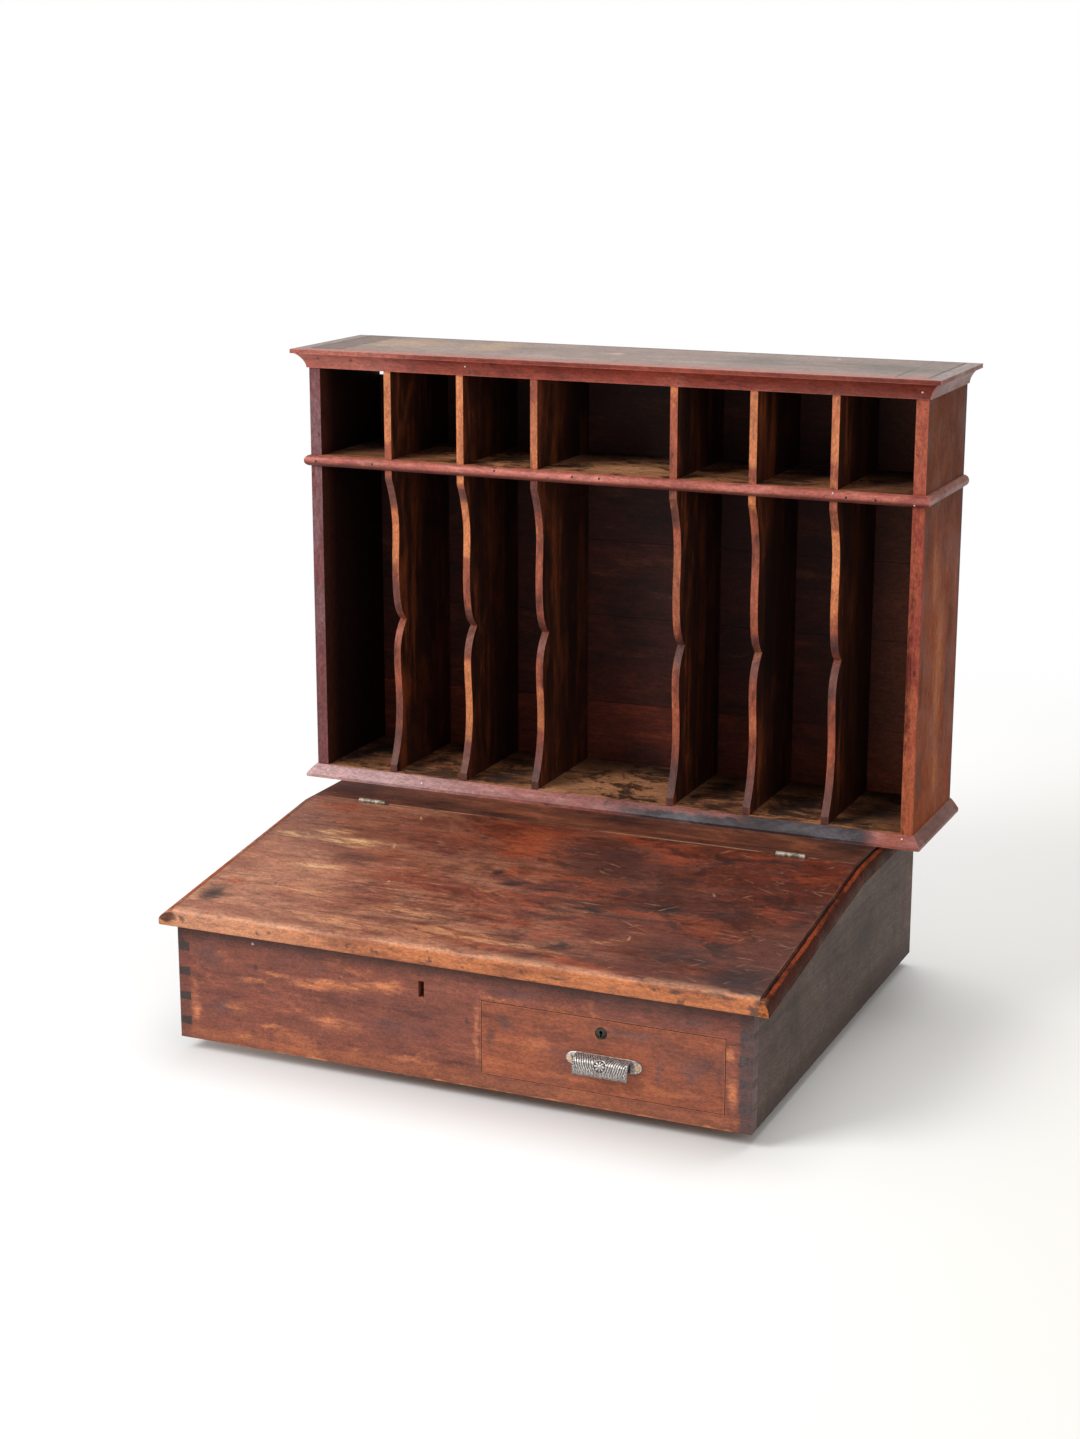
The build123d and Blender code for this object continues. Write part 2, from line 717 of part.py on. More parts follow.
with BuildPart() as hutch_bottom:
    with BuildSketch(Plane.XY.offset(rail_z)):
        span(-hutch_inner, hutch_inner, hutch_front, plank_y)
    extrude(amount=hutch_bottom_thickness)
    for centre_x in divider_centres:
        dado(centre_x, bottom_board_z - dado_depth, bottom_board_z)
save(hutch_bottom, "hutch_bottom")

plank_seams = low_plank_seams + [shelf_height + top_seam_rise]
plank_edges = [rail_z] + [rail_z + seam for seam in plank_seams] + [top_board_z]
plank_half = hutch_inner + plank_rabbet
chip_x = -hutch_inner + chip_width
for number in range(len(plank_edges) - 1):
    low = plank_edges[number] + (plank_gap / 2 if number > 0 else 0)
    high = plank_edges[number + 1] - (plank_gap / 2 if number < len(plank_edges) - 2 else 0)
    with BuildPart() as plank:
        with BuildSketch(Plane.XY.offset(low)):
            span(-plank_half, plank_half, plank_y, hutch_back)
        extrude(amount=high - low)
        if number == len(plank_edges) - 2:
            # A corner is split away at the left end of the top plank.
            with BuildSketch(Plane(origin=(0, plank_y, 0), x_dir=(1, 0, 0), z_dir=(0, -1, 0))):
                span(-plank_half, chip_x, high - chip_height, high)
            extrude(amount=-plank_thickness, mode=Mode.SUBTRACT)
    save(plank, f"back_plank_{number + 1}")

# ================================================================ dividers
def bend(start, lead, trail, end):
    """A smooth bend; lead and trail place its two controls as fractions of the way from start to end."""
    wide = end[0] - start[0]
    tall = end[1] - start[1]
    first = (start[0] + lead[0] * wide, start[1] + lead[1] * tall)
    second = (start[0] + trail[0] * wide, start[1] + trail[1] * tall)
    Bezier(start, first, second, end)


def front_point(depth, z):
    return (hutch_front + depth, z)


scallop_foot = front_point(foot_depth, bottom_board_z + foot_height)
lower_hollow = front_point(lower_hollow_depth, bottom_board_z + lower_hollow_height)
lower_belly = front_point(lower_belly_depth, bottom_board_z + lower_belly_height)
cusp = front_point(cusp_depth, bottom_board_z + cusp_height)
upper_belly = front_point(upper_belly_depth, shelf_bottom_z - upper_belly_drop)
upper_hollow = front_point(upper_hollow_depth, shelf_bottom_z - upper_hollow_drop)
shoulder = front_point(0, shelf_bottom_z - shoulder_drop)
tongue_bottom = bottom_board_z - dado_depth
tongue_top = shelf_bottom_z + dado_depth

for number in range(len(divider_centres)):
    start_x = divider_centres[number] - divider_thickness / 2
    with BuildPart() as lower_divider:
        with BuildSketch(Plane.YZ.offset(start_x)):
            with BuildLine():
                Line(front_point(foot_depth, tongue_bottom), scallop_foot)
                bend(scallop_foot, (0.4, 0.17), (1, 0.48), lower_hollow)
                bend(lower_hollow, (0, 0.4), (1, 0.6), lower_belly)
                bend(lower_belly, (0, 0.45), (0.4, 0.75), cusp)
                bend(cusp, (0.68, 0.13), (0.97, 0.38), upper_belly)
                bend(upper_belly, (0, 0.4), (1, 0.6), upper_hollow)
                bend(upper_hollow, (0, 0.33), (0.43, 0.69), shoulder)
                Line(shoulder, front_point(0, tongue_top))
                Line(front_point(0, tongue_top), (plank_y, tongue_top))
                Line((plank_y, tongue_top), (plank_y, tongue_bottom))
                Line((plank_y, tongue_bottom), front_point(foot_depth, tongue_bottom))
            make_face()
        extrude(amount=divider_thickness)
    save(lower_divider, f"lower_divider_{number + 1}")

    with BuildPart() as upper_divider:
        with BuildSketch(Plane.XY.offset(shelf_top_z - dado_depth)):
            span(start_x, start_x + divider_thickness, hutch_front, plank_y)
        extrude(amount=top_board_z - shelf_top_z + 2 * dado_depth)
    save(upper_divider, f"upper_divider_{number + 1}")

# ================================================================ hutch mouldings
# Each section is drawn with x as the way out from the hutch and y as the height.
with BuildSketch() as crown_section:
    cove_top = crown_height - crown_lip
    cove_out = crown_reach - crown_lip_step
    with BuildLine():
        Line((0, 0), (crown_foot, 0))
        Bezier((crown_foot, 0), (crown_foot, cove_top / 2), (cove_out - crown_foot, cove_top), (cove_out, cove_top))
        Polyline((cove_out, cove_top), (crown_reach, cove_top), (crown_reach, crown_height), (0, crown_height), (0, 0))
    make_face()

with BuildSketch() as bead_section:
    with BuildLine():
        Line((0, shelf_thickness), (0, 0))
        ThreePointArc((0, 0), (bead_reach, shelf_thickness / 2), (0, shelf_thickness))
    make_face()

with BuildSketch() as base_section:
    arc_middle_x = (base_reach + base_shoulder) / 2 + base_swell * 0.7
    arc_middle_y = (base_toe + hutch_bottom_thickness) / 2 + base_swell * 0.7
    with BuildLine():
        Polyline((base_shoulder, hutch_bottom_thickness), (0, hutch_bottom_thickness), (0, 0), (base_reach, 0))
        Line((base_reach, 0), (base_reach, base_toe))
        ThreePointArc(
            (base_reach, base_toe), (arc_middle_x, arc_middle_y), (base_shoulder, hutch_bottom_thickness)
        )
    make_face()

left_mitre = Plane(origin=(-hutch_half, hutch_front, 0), z_dir=(1, -1, 0))
right_mitre = Plane(origin=(hutch_half, hutch_front, 0), z_dir=(-1, -1, 0))


def mitred_strips(section, reach, base_z, name):
    """A front strip and two returns of one moulding, mitred where they meet."""
    with BuildPart() as front_strip:
        with BuildSketch(Plane(origin=(0, hutch_front, base_z), x_dir=(0, -1, 0), z_dir=(-1, 0, 0))):
            add(section.sketch)
        extrude(amount=hutch_half + reach, both=True)
        split(bisect_by=left_mitre, keep=Keep.TOP)
        split(bisect_by=right_mitre, keep=Keep.TOP)
    save(front_strip, f"{name}_front")
    with BuildPart() as left_strip:
        with BuildSketch(Plane(origin=(-hutch_half, hutch_back, base_z), x_dir=(-1, 0, 0), z_dir=(0, 1, 0))):
            add(section.sketch)
        extrude(amount=-(hutch_depth + reach))
        split(bisect_by=left_mitre, keep=Keep.BOTTOM)
    save(left_strip, f"{name}_left")
    with BuildPart() as right_strip:
        with BuildSketch(Plane(origin=(hutch_half, hutch_back, base_z), x_dir=(1, 0, 0), z_dir=(0, -1, 0))):
            add(section.sketch)
        extrude(amount=hutch_depth + reach)
        split(bisect_by=right_mitre, keep=Keep.BOTTOM)
    save(right_strip, f"{name}_right")


mitred_strips(crown_section, crown_reach, hutch_top_z - crown_height, "crown")
mitred_strips(bead_section, bead_reach, shelf_bottom_z, "bead")
mitred_strips(base_section, base_reach, rail_z, "base_moulding")
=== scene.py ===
import math

import bpy
from mathutils import Matrix, Vector


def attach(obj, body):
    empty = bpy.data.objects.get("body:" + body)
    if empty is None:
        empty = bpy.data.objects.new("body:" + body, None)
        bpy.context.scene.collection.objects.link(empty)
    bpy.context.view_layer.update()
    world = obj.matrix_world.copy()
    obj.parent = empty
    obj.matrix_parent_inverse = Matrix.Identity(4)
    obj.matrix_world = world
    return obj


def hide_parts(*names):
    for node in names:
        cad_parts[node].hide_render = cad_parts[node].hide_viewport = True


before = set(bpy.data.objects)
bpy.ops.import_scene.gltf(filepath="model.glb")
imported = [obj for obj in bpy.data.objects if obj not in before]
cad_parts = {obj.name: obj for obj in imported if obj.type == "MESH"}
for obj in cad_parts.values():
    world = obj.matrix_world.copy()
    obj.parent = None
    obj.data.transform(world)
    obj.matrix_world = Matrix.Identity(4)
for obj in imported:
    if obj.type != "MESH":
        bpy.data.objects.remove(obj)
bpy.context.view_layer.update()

# -------------------- named values, in metres and degrees
# Desk: the lid's slope down from its seam with the rail, its nosing's first and last y, and how steeply the
# darker band along the top of the sides falls.
LID_SEAM_Y = 0.028
LID_DROP = 0.0438
LID_RUN = 0.3335
LID_SLOPE = math.atan2(LID_DROP, LID_RUN)
RAIL_TOP = 0.213
BOX_FRONT = -0.2935
NOSING = (-0.2915, -0.2975)
SIDE_FALL = 0.1313
# The moulded ends of lid and rail: where each starts and how wide it is.
END_RIGHT = 0.34405
END_RIGHT_WIDTH = 0.0096
END_LEFT = -0.34525
END_LEFT_WIDTH = 0.0184
# Hutch: half its width, and how far from the middle the top's joints and dark line lie.
HUTCH_HALF = 0.385
TOP_JOINT = (0.3805, 0.3835)
TOP_LINE = 0.346
# How far and how finely the edges of marks are shaken.
RAGGED_REACH = 0.007
RAGGED_SCALE = 60.0
ORIGIN = (0, 0, 0)

# Bin pull: its hood, the relief cast in it, its back plate and its rolled rim.
PULL_X = 0.17125
PULL_Z = 0.068
HOOD_WIDTH = 0.062
HOOD_REACH = 0.0134
HOOD_WALL = 0.0016
HOOD_TOP = 0.0077
HOOD_BOTTOM = -0.0128
HOOD_SHOULDER = 0.009
HOOD_COLUMNS = 200
HOOD_ROWS = 84
RELIEF = 0.0003
HOLLOW = 0.37
BORDER_TOP = 0.002
BORDER_FOOT = 0.004
BORDER_WIDTH = 0.0022
BORDER_BEADS = 0.0018
ROSETTE_PLACE = 0.56
ROSETTE_RADIUS = 0.0082
ROSETTE_RING = 0.0075
ROSETTE_LINE = 0.0006
ROSETTE_CORE = 0.0017
ROSETTE_PETALS = 8
PETAL_LENGTH = 0.0068
REED_PITCH = 0.0027
REED_LEAN = 0.55
REED_SWAY = 0.0016
REED_END = 0.8
PLATE_THICKNESS = 0.0016
PLATE_BEVEL = 0.0006
EAR_LENGTH = 0.012
EAR_STEPS = 24
RIM_RADIUS = 0.0014
RIM_PROUD = 0.0006
RIM_SIDES = 16

# Nail heads: each ring is a share of the radius and a height over the face.
NAIL_SIDES = 12
NAIL_CROWN = 0.0002
NAIL_RINGS = ((0.6, 0.00012), (1.0, -0.0003))

# Camera, floor and light; the lens and sensor in millimetres.
CAMERA_PLACE = (1.08683, -2.5484, 1.07059)
CAMERA_YAW = 23.676
CAMERA_PITCH = 14.551
CAMERA_LENS = 62.26
SENSOR_WIDTH = 36.0
FLOOR_REACH = 14
FLOOR_DROP = 0.0004
SHADE_CENTRE = (0.5, 0.32, 0.0)
SHADE_FADE = (0.75, 1.75)
WORLD_LIGHT = 0.45

# Faces that carry placed marks, in millimetres: the axis across the face, its place there and a mark's depth.
FRONT_FACE = (1, BOX_FRONT * 1000, 20)
DESK_RIGHT_FACE = (0, 335, 20)
HUTCH_RIGHT_FACE = (0, HUTCH_HALF * 1000, 20)
HUTCH_TOP_FACE = (2, 749, 30)
HUTCH_FLOOR = (2, 228, 12)
SHELF_FLOOR = (2, 620, 12)

# Nails: x and z in millimetres on each front moulding.
CROWN_NAILS = [(-369, 738), (-324, 738), (-149, 739), (-8, 738)]
BEAD_NAILS = [(-375, 613), (-298, 614), (-136, 616), (-36, 615), (-2, 615), (296, 613), (330, 612)]
BRIGHT_CROWN_NAILS = [(-173, 737), (378, 734)]
BRIGHT_BEAD_NAILS = [(280, 617), (374, 609)]
BRIGHT_BASE_NAILS = [(-368, 223), (-236, 221), (374, 224)]


def linear(colour):
    """A colour written as it looks on screen, 0 to 255, as Blender's linear values."""
    return tuple(((c / 255 + 0.055) / 1.055) ** 2.4 if c > 10 else c / 3295 for c in colour) + (1.0,)


# -------------------- materials
class Paint:
    """One procedural material: masks in the frame's own coordinates, colours as seen on screen, 0 to 255."""

    def __init__(self, name, seed, along=0):
        self.material = bpy.data.materials.new(name)
        self.material.use_nodes = True
        self.tree = self.material.node_tree
        self.bsdf = self.tree.nodes["Principled BSDF"]
        coords = self.node("ShaderNodeTexCoord").outputs
        self.place = coords["Object"]
        self.normal = coords["Normal"]
        self.seed = seed
        self.along = along
        self.count = 0
        self.colour = None
        self.grain = None
        self.shine = None
        self.rough_place = None
        self.fleck_value = None

    def node(self, kind, *inputs, **settings):
        """A new node with its settings and its first inputs, each a value or another node's output."""
        made = self.tree.nodes.new(kind)
        for key, value in settings.items():
            setattr(made, key, value)
        for value, socket in zip(inputs, made.inputs):
            self.put(value, socket)
        return made

    def put(self, value, socket):
        if isinstance(value, bpy.types.NodeSocket):
            self.tree.links.new(value, socket)
        else:
            socket.default_value = value

    def math(self, operation, *values):
        return self.node("ShaderNodeMath", *values, operation=operation).outputs[0]

    def vector(self, operation, *values):
        return self.node("ShaderNodeVectorMath", *values, operation=operation)

    def times(self, product, *others):
        for other in others:
            product = self.math("MULTIPLY", product, other)
        return product

    def plus(self, a, b):
        return self.math("ADD", a, b)

    def step(self, value, low, high, to_low=0.0, to_high=1.0):
        numbers = (low, high, to_low, to_high)
        return self.node("ShaderNodeMapRange", value, *numbers, interpolation_type="SMOOTHSTEP").outputs[0]

    def texture(self, place, **settings):
        made = self.node("ShaderNodeTexNoise", place, noise_dimensions="4D")
        for name, value in settings.items():
            made.inputs[name].default_value = value
        return made.outputs

    def noise(self, scale, stretch=(1, 1, 1), detail=4.0, rough=0.55, warp=0.0, turn=0.0):
        self.count += 1
        place = self.place
        if turn:
            place = self.node("ShaderNodeMapping", place, ORIGIN, (0, 0, math.radians(turn))).outputs[0]
        place = self.node("ShaderNodeMapping", place, ORIGIN, ORIGIN, [scale * s for s in stretch]).outputs[0]
        seed = self.seed + 3.17 * self.count
        return self.texture(place, W=seed, Scale=1.0, Detail=detail, Roughness=rough, Distortion=warp)["Fac"]

    def ragged(self):
        """The frame's coordinates, shaken so that placed marks get an uneven edge."""
        if self.rough_place is None:
            shaken = self.texture(self.place, W=self.seed * 1.7, Scale=RAGGED_SCALE, Detail=5.0)["Color"]
            centred = self.vector("SUBTRACT", shaken, (0.5, 0.5, 0.5))
            scaled = self.vector("SCALE", centred.outputs[0])
            scaled.inputs["Scale"].default_value = RAGGED_REACH * 2
            self.rough_place = self.vector("ADD", self.place, scaled.outputs[0]).outputs[0]
        return self.rough_place

    def drawn_out(self, share):
        stretch = [1.0, 1.0, 1.0]
        stretch[self.along] = share
        return stretch

    def flecks(self):
        """One broken texture shared by every placed mark of a material, -0.5 to 0.5."""
        if self.fleck_value is None:
            self.fleck_value = self.plus(self.noise(110, self.drawn_out(0.16), 8, 0.78), -0.5)
        return self.fleck_value

    def blob(self, centre, size, turn=(0, 0, 0), core=None):
        """A mark inside an ellipsoid given in millimetres: torn and soft, or plain where it has a core."""
        centre = [c / 1000 for c in centre]
        turn = [math.radians(t) for t in turn]
        size = [s / 1000 for s in size]
        made = self.node("ShaderNodeMapping", self.ragged(), centre, turn, size, vector_type="TEXTURE")
        length = self.vector("LENGTH", made.outputs[0]).outputs["Value"]
        if core is not None:
            return self.step(length, core, 1.0, 1.0, 0.0)
        bell = self.step(length, 0.1, 1.05, 1.0, 0.0)
        torn = self.step(self.plus(self.flecks(), self.times(bell, 0.17)), 0.0, 0.17)
        return self.times(bell, self.plus(self.times(torn, 0.75), 0.25))

    def axis(self, vector, index):
        return self.node("ShaderNodeSeparateXYZ", vector).outputs[index]

    def facing(self, index, sign):
        """1 where the surface faces along one axis."""
        return self.step(self.times(self.axis(self.normal, index), sign), 0.35, 0.8)

    def facing_sideways(self):
        return self.math("MAXIMUM", self.facing(0, 1), self.facing(0, -1))

    def rise(self, index, low, high, to_low=0.0, to_high=1.0):
        """0 to 1 between two places along one axis."""
        return self.step(self.axis(self.place, index), low, high, to_low, to_high)

    def torn_rise(self, index, low, high, to_low=0.0, to_high=1.0):
        """0 to 1 between two places along one axis, with an uneven front."""
        return self.step(self.axis(self.ragged(), index), low, high, to_low, to_high)

    def between(self, index, low, high, soft):
        """1 between two positions along one axis, in millimetres."""
        value = self.axis(self.ragged(), index)
        rise = self.step(value, (low - soft) / 1000, (low + soft) / 1000)
        fall = self.step(value, (high - soft) / 1000, (high + soft) / 1000, 1.0, 0.0)
        return self.times(rise, fall)

    def edges(self, radius):
        """1 along the sharp edges, where hands and dusters rub; lighter colour there is partly wear and
        partly painted highlight.
        """
        rounded = self.node("ShaderNodeBevel", radius, samples=4).outputs[0]
        flat = self.node("ShaderNodeNewGeometry").outputs["Normal"]
        dot = self.vector("DOT_PRODUCT", rounded, flat)
        return self.step(dot.outputs["Value"], 0.995, 0.86)

    def mix(self, a, b, share, blend="MIX"):
        made = self.node("ShaderNodeMix", share, data_type="RGBA", blend_type=blend)
        for value, socket in ((a, made.inputs[6]), (b, made.inputs[7])):
            self.put(linear(value) if isinstance(value, tuple) else value, socket)
        return made.outputs[2]

    def layer(self, new, mask, strength=1.0):
        """Paint over the colour so far where the mask is 1."""
        self.colour = self.mix(self.colour, new, mask if strength == 1.0 else self.times(mask, strength))

    def lay_over(self, under, mask):
        """Keep the colour so far only where the mask is 1, over one that was set aside."""
        self.colour = self.mix(under, self.colour, mask)

    def blobs(self, new, marks, strength=1.0, streaks=None):
        """Layer one colour in several marks, broken into fine lines where streaks are given."""
        for mark in marks:
            mask = self.blob(*mark)
            if streaks is not None:
                mask = self.times(mask, self.plus(self.times(streaks, 0.8), 0.2))
            self.layer(new, mask, strength)

    def run_moulding(self):
        """The moulded ends of lid and rail: a groove dark with dirt and painted shade, a rubbed line and
        little shine.
        """
        x = self.axis(self.place, 0)
        right = self.times(self.plus(x, -END_RIGHT), 1 / END_RIGHT_WIDTH)
        left = self.times(self.plus(x, -END_LEFT), -1 / END_LEFT_WIDTH)
        across = self.math("MAXIMUM", right, left)
        shaken = self.plus(across, self.times(self.plus(self.noise(60, (1, 1, 1), 5, 0.7), -0.5), 0.4))
        # Dirt and painted shade: the groove at the foot of the step made dark.
        groove = self.times(self.step(across, -0.08, -0.02), self.step(shaken, 0.34, 0.2))
        self.layer((46, 24, 19), groove, 0.85)
        rubbed = self.patches(0.38, 0.56, 26, (1, 0.4, 1), 6, 0.7)
        line = self.times(self.step(shaken, 0.24, 0.34), self.step(shaken, 0.7, 0.56))
        self.layer((152, 68, 38), self.times(line, rubbed), 0.85)
        self.shine = self.step(across, -0.05, 0.05, 0.45, 0.02)

    def patches(self, low, high, *noise):
        """0 to 1 where a noise rises from low to high."""
        return self.step(self.noise(*noise), low, high)

    def sheen(self, low, high, detail=5):
        """A roughness that wanders between two values in long patches."""
        return self.step(self.noise(30, (0.4, 1, 1), detail), 0.3, 0.7, low, high)

    def speckle(self, new, scale, least, strength):
        """Small separate specks wherever a fine noise is high."""
        self.layer(new, self.patches(least, least + 0.05, scale, self.drawn_out(0.6), 3, 0.6), strength)

    def wood(self, deep, middle, light, contrast=1.0, mottle=9.0):
        """Stained wood: a slow mottle under long grain."""
        broad = self.noise(70, self.drawn_out(0.035), 6, 0.65, 0.4)
        close = self.noise(320, self.drawn_out(0.05), 4, 0.65, 0.2)
        grain = self.plus(self.times(broad, 0.6), self.times(close, 0.4))
        slow = self.noise(mottle, self.drawn_out(0.45), 9, 0.76, 0.6)
        value = self.plus(self.times(grain, 0.4), self.times(slow, 0.6))
        spread = 0.125 / contrast
        self.colour = self.mix(deep, middle, self.step(value, 0.5 - spread, 0.5))
        self.layer(light, self.step(value, 0.5, 0.5 + spread))
        self.grain = grain

    def shade(self, amount):
        """Fine light and dark flecks of a few millimetres over the whole colour."""
        close = self.noise(230, self.drawn_out(0.3), 5, 0.78)
        pores = self.noise(620, self.drawn_out(0.45), 2, 0.6)
        value = self.plus(self.times(close, 0.55), self.times(pores, 0.45))
        factor = self.step(value, 0.38, 0.62, 1.0 - amount, 1.0 + amount)
        self.colour = self.mix(self.colour, factor, 1.0, "MULTIPLY")

    def finish(self, rough, depth, specular=0.5, metallic=0.0, bump=None, flecks=0.3):
        """Connect the material; the bump follows the grain unless another texture is given."""
        if flecks:
            self.shade(flecks)
        self.put(self.colour, self.bsdf.inputs["Base Color"])
        self.put(rough, self.bsdf.inputs["Roughness"])
        self.bsdf.inputs["Metallic"].default_value = metallic
        self.put(specular, self.bsdf.inputs["Specular IOR Level"])
        if depth:
            made = self.node("ShaderNodeBump")
            made.inputs["Strength"].default_value = 1.0
            made.inputs["Distance"].default_value = depth
            self.put(self.grain if bump is None else bump, made.inputs["Height"])
            self.put(made.outputs[0], self.bsdf.inputs["Normal"])
        return self.material


BRICK_DEEP = (88, 38, 30)
BRICK = (138, 66, 54)
BARE = (205, 122, 72)
INK = (34, 31, 35)


def lid_point(x, run, up=0.0):
    """A point on the lid in millimetres: x, distance down the slope from the seam, height over the face."""
    y = LID_SEAM_Y * 1000 - run * math.cos(LID_SLOPE) - up * math.sin(LID_SLOPE)
    z = RAIL_TOP * 1000 - run * math.sin(LID_SLOPE) + up * math.cos(LID_SLOPE)
    return (x, y, z)


def lid_mark(x, run, size, turn=0, core=None, up=0.0):
    """A mark for Paint.blob on the lid."""
    return (lid_point(x, run, up), size, (0, 0, turn), core)


def marks_on(face, *rows):
    """Marks on one face: two places and two half sizes in millimetres, then any turn and core."""
    index, level, depth = face
    marks = []
    for first, second, wide, high, *rest in rows:
        centre = [first, second]
        size = [wide, high]
        centre.insert(index, level)
        size.insert(index, depth)
        marks.append((centre, size, *rest))
    return marks


def lid_material():
    paint = Paint("lid_worn", 3, 0)
    paint.wood((80, 35, 25), (120, 60, 43), (156, 88, 62), 1.15, 14)
    x = paint.axis(paint.place, 0)
    y = paint.axis(paint.place, 1)
    paint.layer((82, 34, 21), paint.step(x, -0.1, 0.3), 0.55)
    paint.layer((98, 38, 22), paint.step(y, -0.16, 0.0), 0.45)
    left = paint.step(x, -0.2, 0.3, 1.0, 0.1)
    near = paint.step(y, -0.26, -0.02, 1.0, 0.35)
    # Painted sheen: the lid paler and lighter towards its left end.
    paint.layer((170, 116, 92), paint.step(x, -0.1, -0.3), 0.4)
    worn = paint.patches(0.46, 0.6, 10, (0.5, 1.4, 1), 8, 0.74, 0.6)
    paint.layer((194, 134, 102), paint.times(left, near, worn), 0.75)
    rubbed = paint.patches(0.52, 0.66, 34, (0.4, 1.2, 1), 7, 0.75, 0.3)
    paint.layer((196, 140, 104), paint.times(left, near, rubbed), 0.55)
    red = paint.patches(0.5, 0.6, 22, (0.45, 1.2, 1), 8, 0.76, 0.4)
    paint.layer((150, 66, 36), paint.times(red, paint.step(x, -0.3, 0.1, 0.3, 1.0)), 0.7)
    dusk = paint.patches(0.5, 0.66, 8, (0.8, 1.2, 1), 7, 0.7, 0.8)
    paint.layer((60, 31, 26), paint.times(dusk, paint.step(x, -0.3, 0.25, 0.3, 1.0)), 0.75)
    paint.blobs((66, 34, 28), [
        lid_mark(64, 72, (62, 74, 40), core=0.5), lid_mark(104, 84, (70, 60, 40), core=0.3),
        lid_mark(200, 150, (90, 60, 30)), lid_mark(240, 270, (120, 70, 40)),
        lid_mark(330, 150, (60, 210, 70)), lid_mark(-206, 152, (44, 20, 24), -8),
    ], 0.65)
    paint.blobs((150, 68, 38), [
        lid_mark(-34, 58, (46, 62, 30), 8, core=0.3), lid_mark(-19, 132, (9, 18, 12), 14, core=0.4),
        lid_mark(-316, 248, (30, 14, 24)), lid_mark(-300, 24, (56, 14, 24)),
        lid_mark(174, 190, (74, 12, 20)),
    ], 0.7)
    paint.blobs((36, 28, 29), [
        lid_mark(-34, 140, (11, 16, 14)), lid_mark(-8, 162, (22, 11, 14)), lid_mark(42, 164, (40, 6, 12)),
        lid_mark(312, 296, (50, 42, 30)), lid_mark(306, 308, (34, 22, 30)),
        lid_mark(262, 276, (52, 10, 20)), lid_mark(100, 196, (44, 8, 20)),
        lid_mark(-322, 282, (26, 34, 24)), lid_mark(184, 170, (26, 16, 20)),
        lid_mark(336, 326, (24, 14, 20)),
    ], 0.92)
    streaks = paint.patches(0.42, 0.56, 150, (0.16, 1.0, 1), 4, 0.6, 0.9, 8)
    paint.blobs((214, 164, 118), [
        lid_mark(-230, 106, (74, 12, 14), 4), lid_mark(-312, 112, (40, 14, 14)),
        lid_mark(-240, 112, (64, 18, 14), -6), lid_mark(-270, 92, (40, 12, 14), 8),
        lid_mark(-232, 184, (48, 10, 8), 6), lid_mark(-258, 187, (30, 9, 8), 6),
    ], 0.85, streaks)
    paint.blobs((198, 138, 98), [
        lid_mark(-170, 306, (150, 24, 16)), lid_mark(-225, 250, (100, 32, 16)),
        lid_mark(-20, 296, (130, 24, 16)), lid_mark(-90, 262, (100, 22, 16)), lid_mark(65, 200, (24, 5, 8)),
        lid_mark(-26, 186, (30, 6, 8)), lid_mark(145, 268, (30, 7, 8)), lid_mark(70, 300, (80, 14, 16)),
    ], 0.74, streaks)
    paint.blobs((204, 156, 116), [
        lid_mark(-232, 185, (36, 3.6, 6), 4), lid_mark(-258, 190, (20, 3, 6), 10),
        lid_mark(-290, 108, (26, 3, 6), -14), lid_mark(-250, 118, (30, 3, 6), 10),
        lid_mark(-138, 214, (62, 2.6, 5), 3), lid_mark(-143, 197, (2.5, 7, 5)),
        lid_mark(-181, 108, (3.5, 11, 5), 20), lid_mark(168, 250, (2.5, 8, 5)),
        lid_mark(-186, 26, (3, 10, 5), 30), lid_mark(218, 122, (2.5, 9, 5), 30),
    ], 0.7)
    paint.layer((62, 30, 24), paint.patches(0.53, 0.62, 230, (0.05, 1.0, 1), 4, 0.65, 0.4), 0.42)
    for turn in (24, -48, 3):
        scratch = paint.noise(300, (0.08, 1.0, 1), 1, 0.5, 0.1, turn)
        paint.layer((184, 128, 92), paint.step(scratch, 0.675, 0.75), 0.42)
    black = paint.patches(0.51, 0.6, 27, (0.6, 1.2, 1), 8, 0.78, 0.6)
    paint.layer((46, 26, 23), paint.times(black, paint.step(x, -0.35, 0.25, 0.15, 1.0)), 0.75)
    paint.speckle((214, 184, 150), 210, 0.69, 0.4)
    paint.speckle((40, 24, 22), 150, 0.63, 0.5)
    paint.layer((60, 31, 26), paint.times(paint.step(x, 0.1, 0.34), paint.step(y, -0.16, -0.28)), 0.45)
    band = paint.times(paint.facing(1, -1), paint.step(y, *NOSING))
    mottle = paint.noise(30, (0.4, 1, 1.4), 7, 0.7)
    face = paint.colour
    paint.colour = paint.mix((138, 74, 42), (190, 112, 64), paint.step(mottle, 0.36, 0.58))
    dents = paint.patches(0.6, 0.66, 64, (0.8, 1, 1), 4, 0.6)
    paint.layer((214, 156, 122), paint.step(x, -0.06, -0.28), 0.45)
    paint.layer((72, 48, 42), dents, 0.75)
    paint.blobs((62, 44, 42), [
        lid_mark(-352, 338, (16, 20, 8), core=0.6, up=-9), lid_mark(-235, 338, (4, 20, 7), up=-12),
        lid_mark(-222, 338, (5, 20, 4), up=-10), lid_mark(-72, 338, (6, 20, 3), up=-8),
        lid_mark(300, 338, (30, 20, 3), up=-3), lid_mark(255, 338, (16, 20, 4), up=-5),
        lid_mark(345, 338, (10, 20, 8), up=-5), lid_mark(120, 338, (20, 20, 3), up=-12),
    ], 0.8)
    paint.lay_over(face, band)
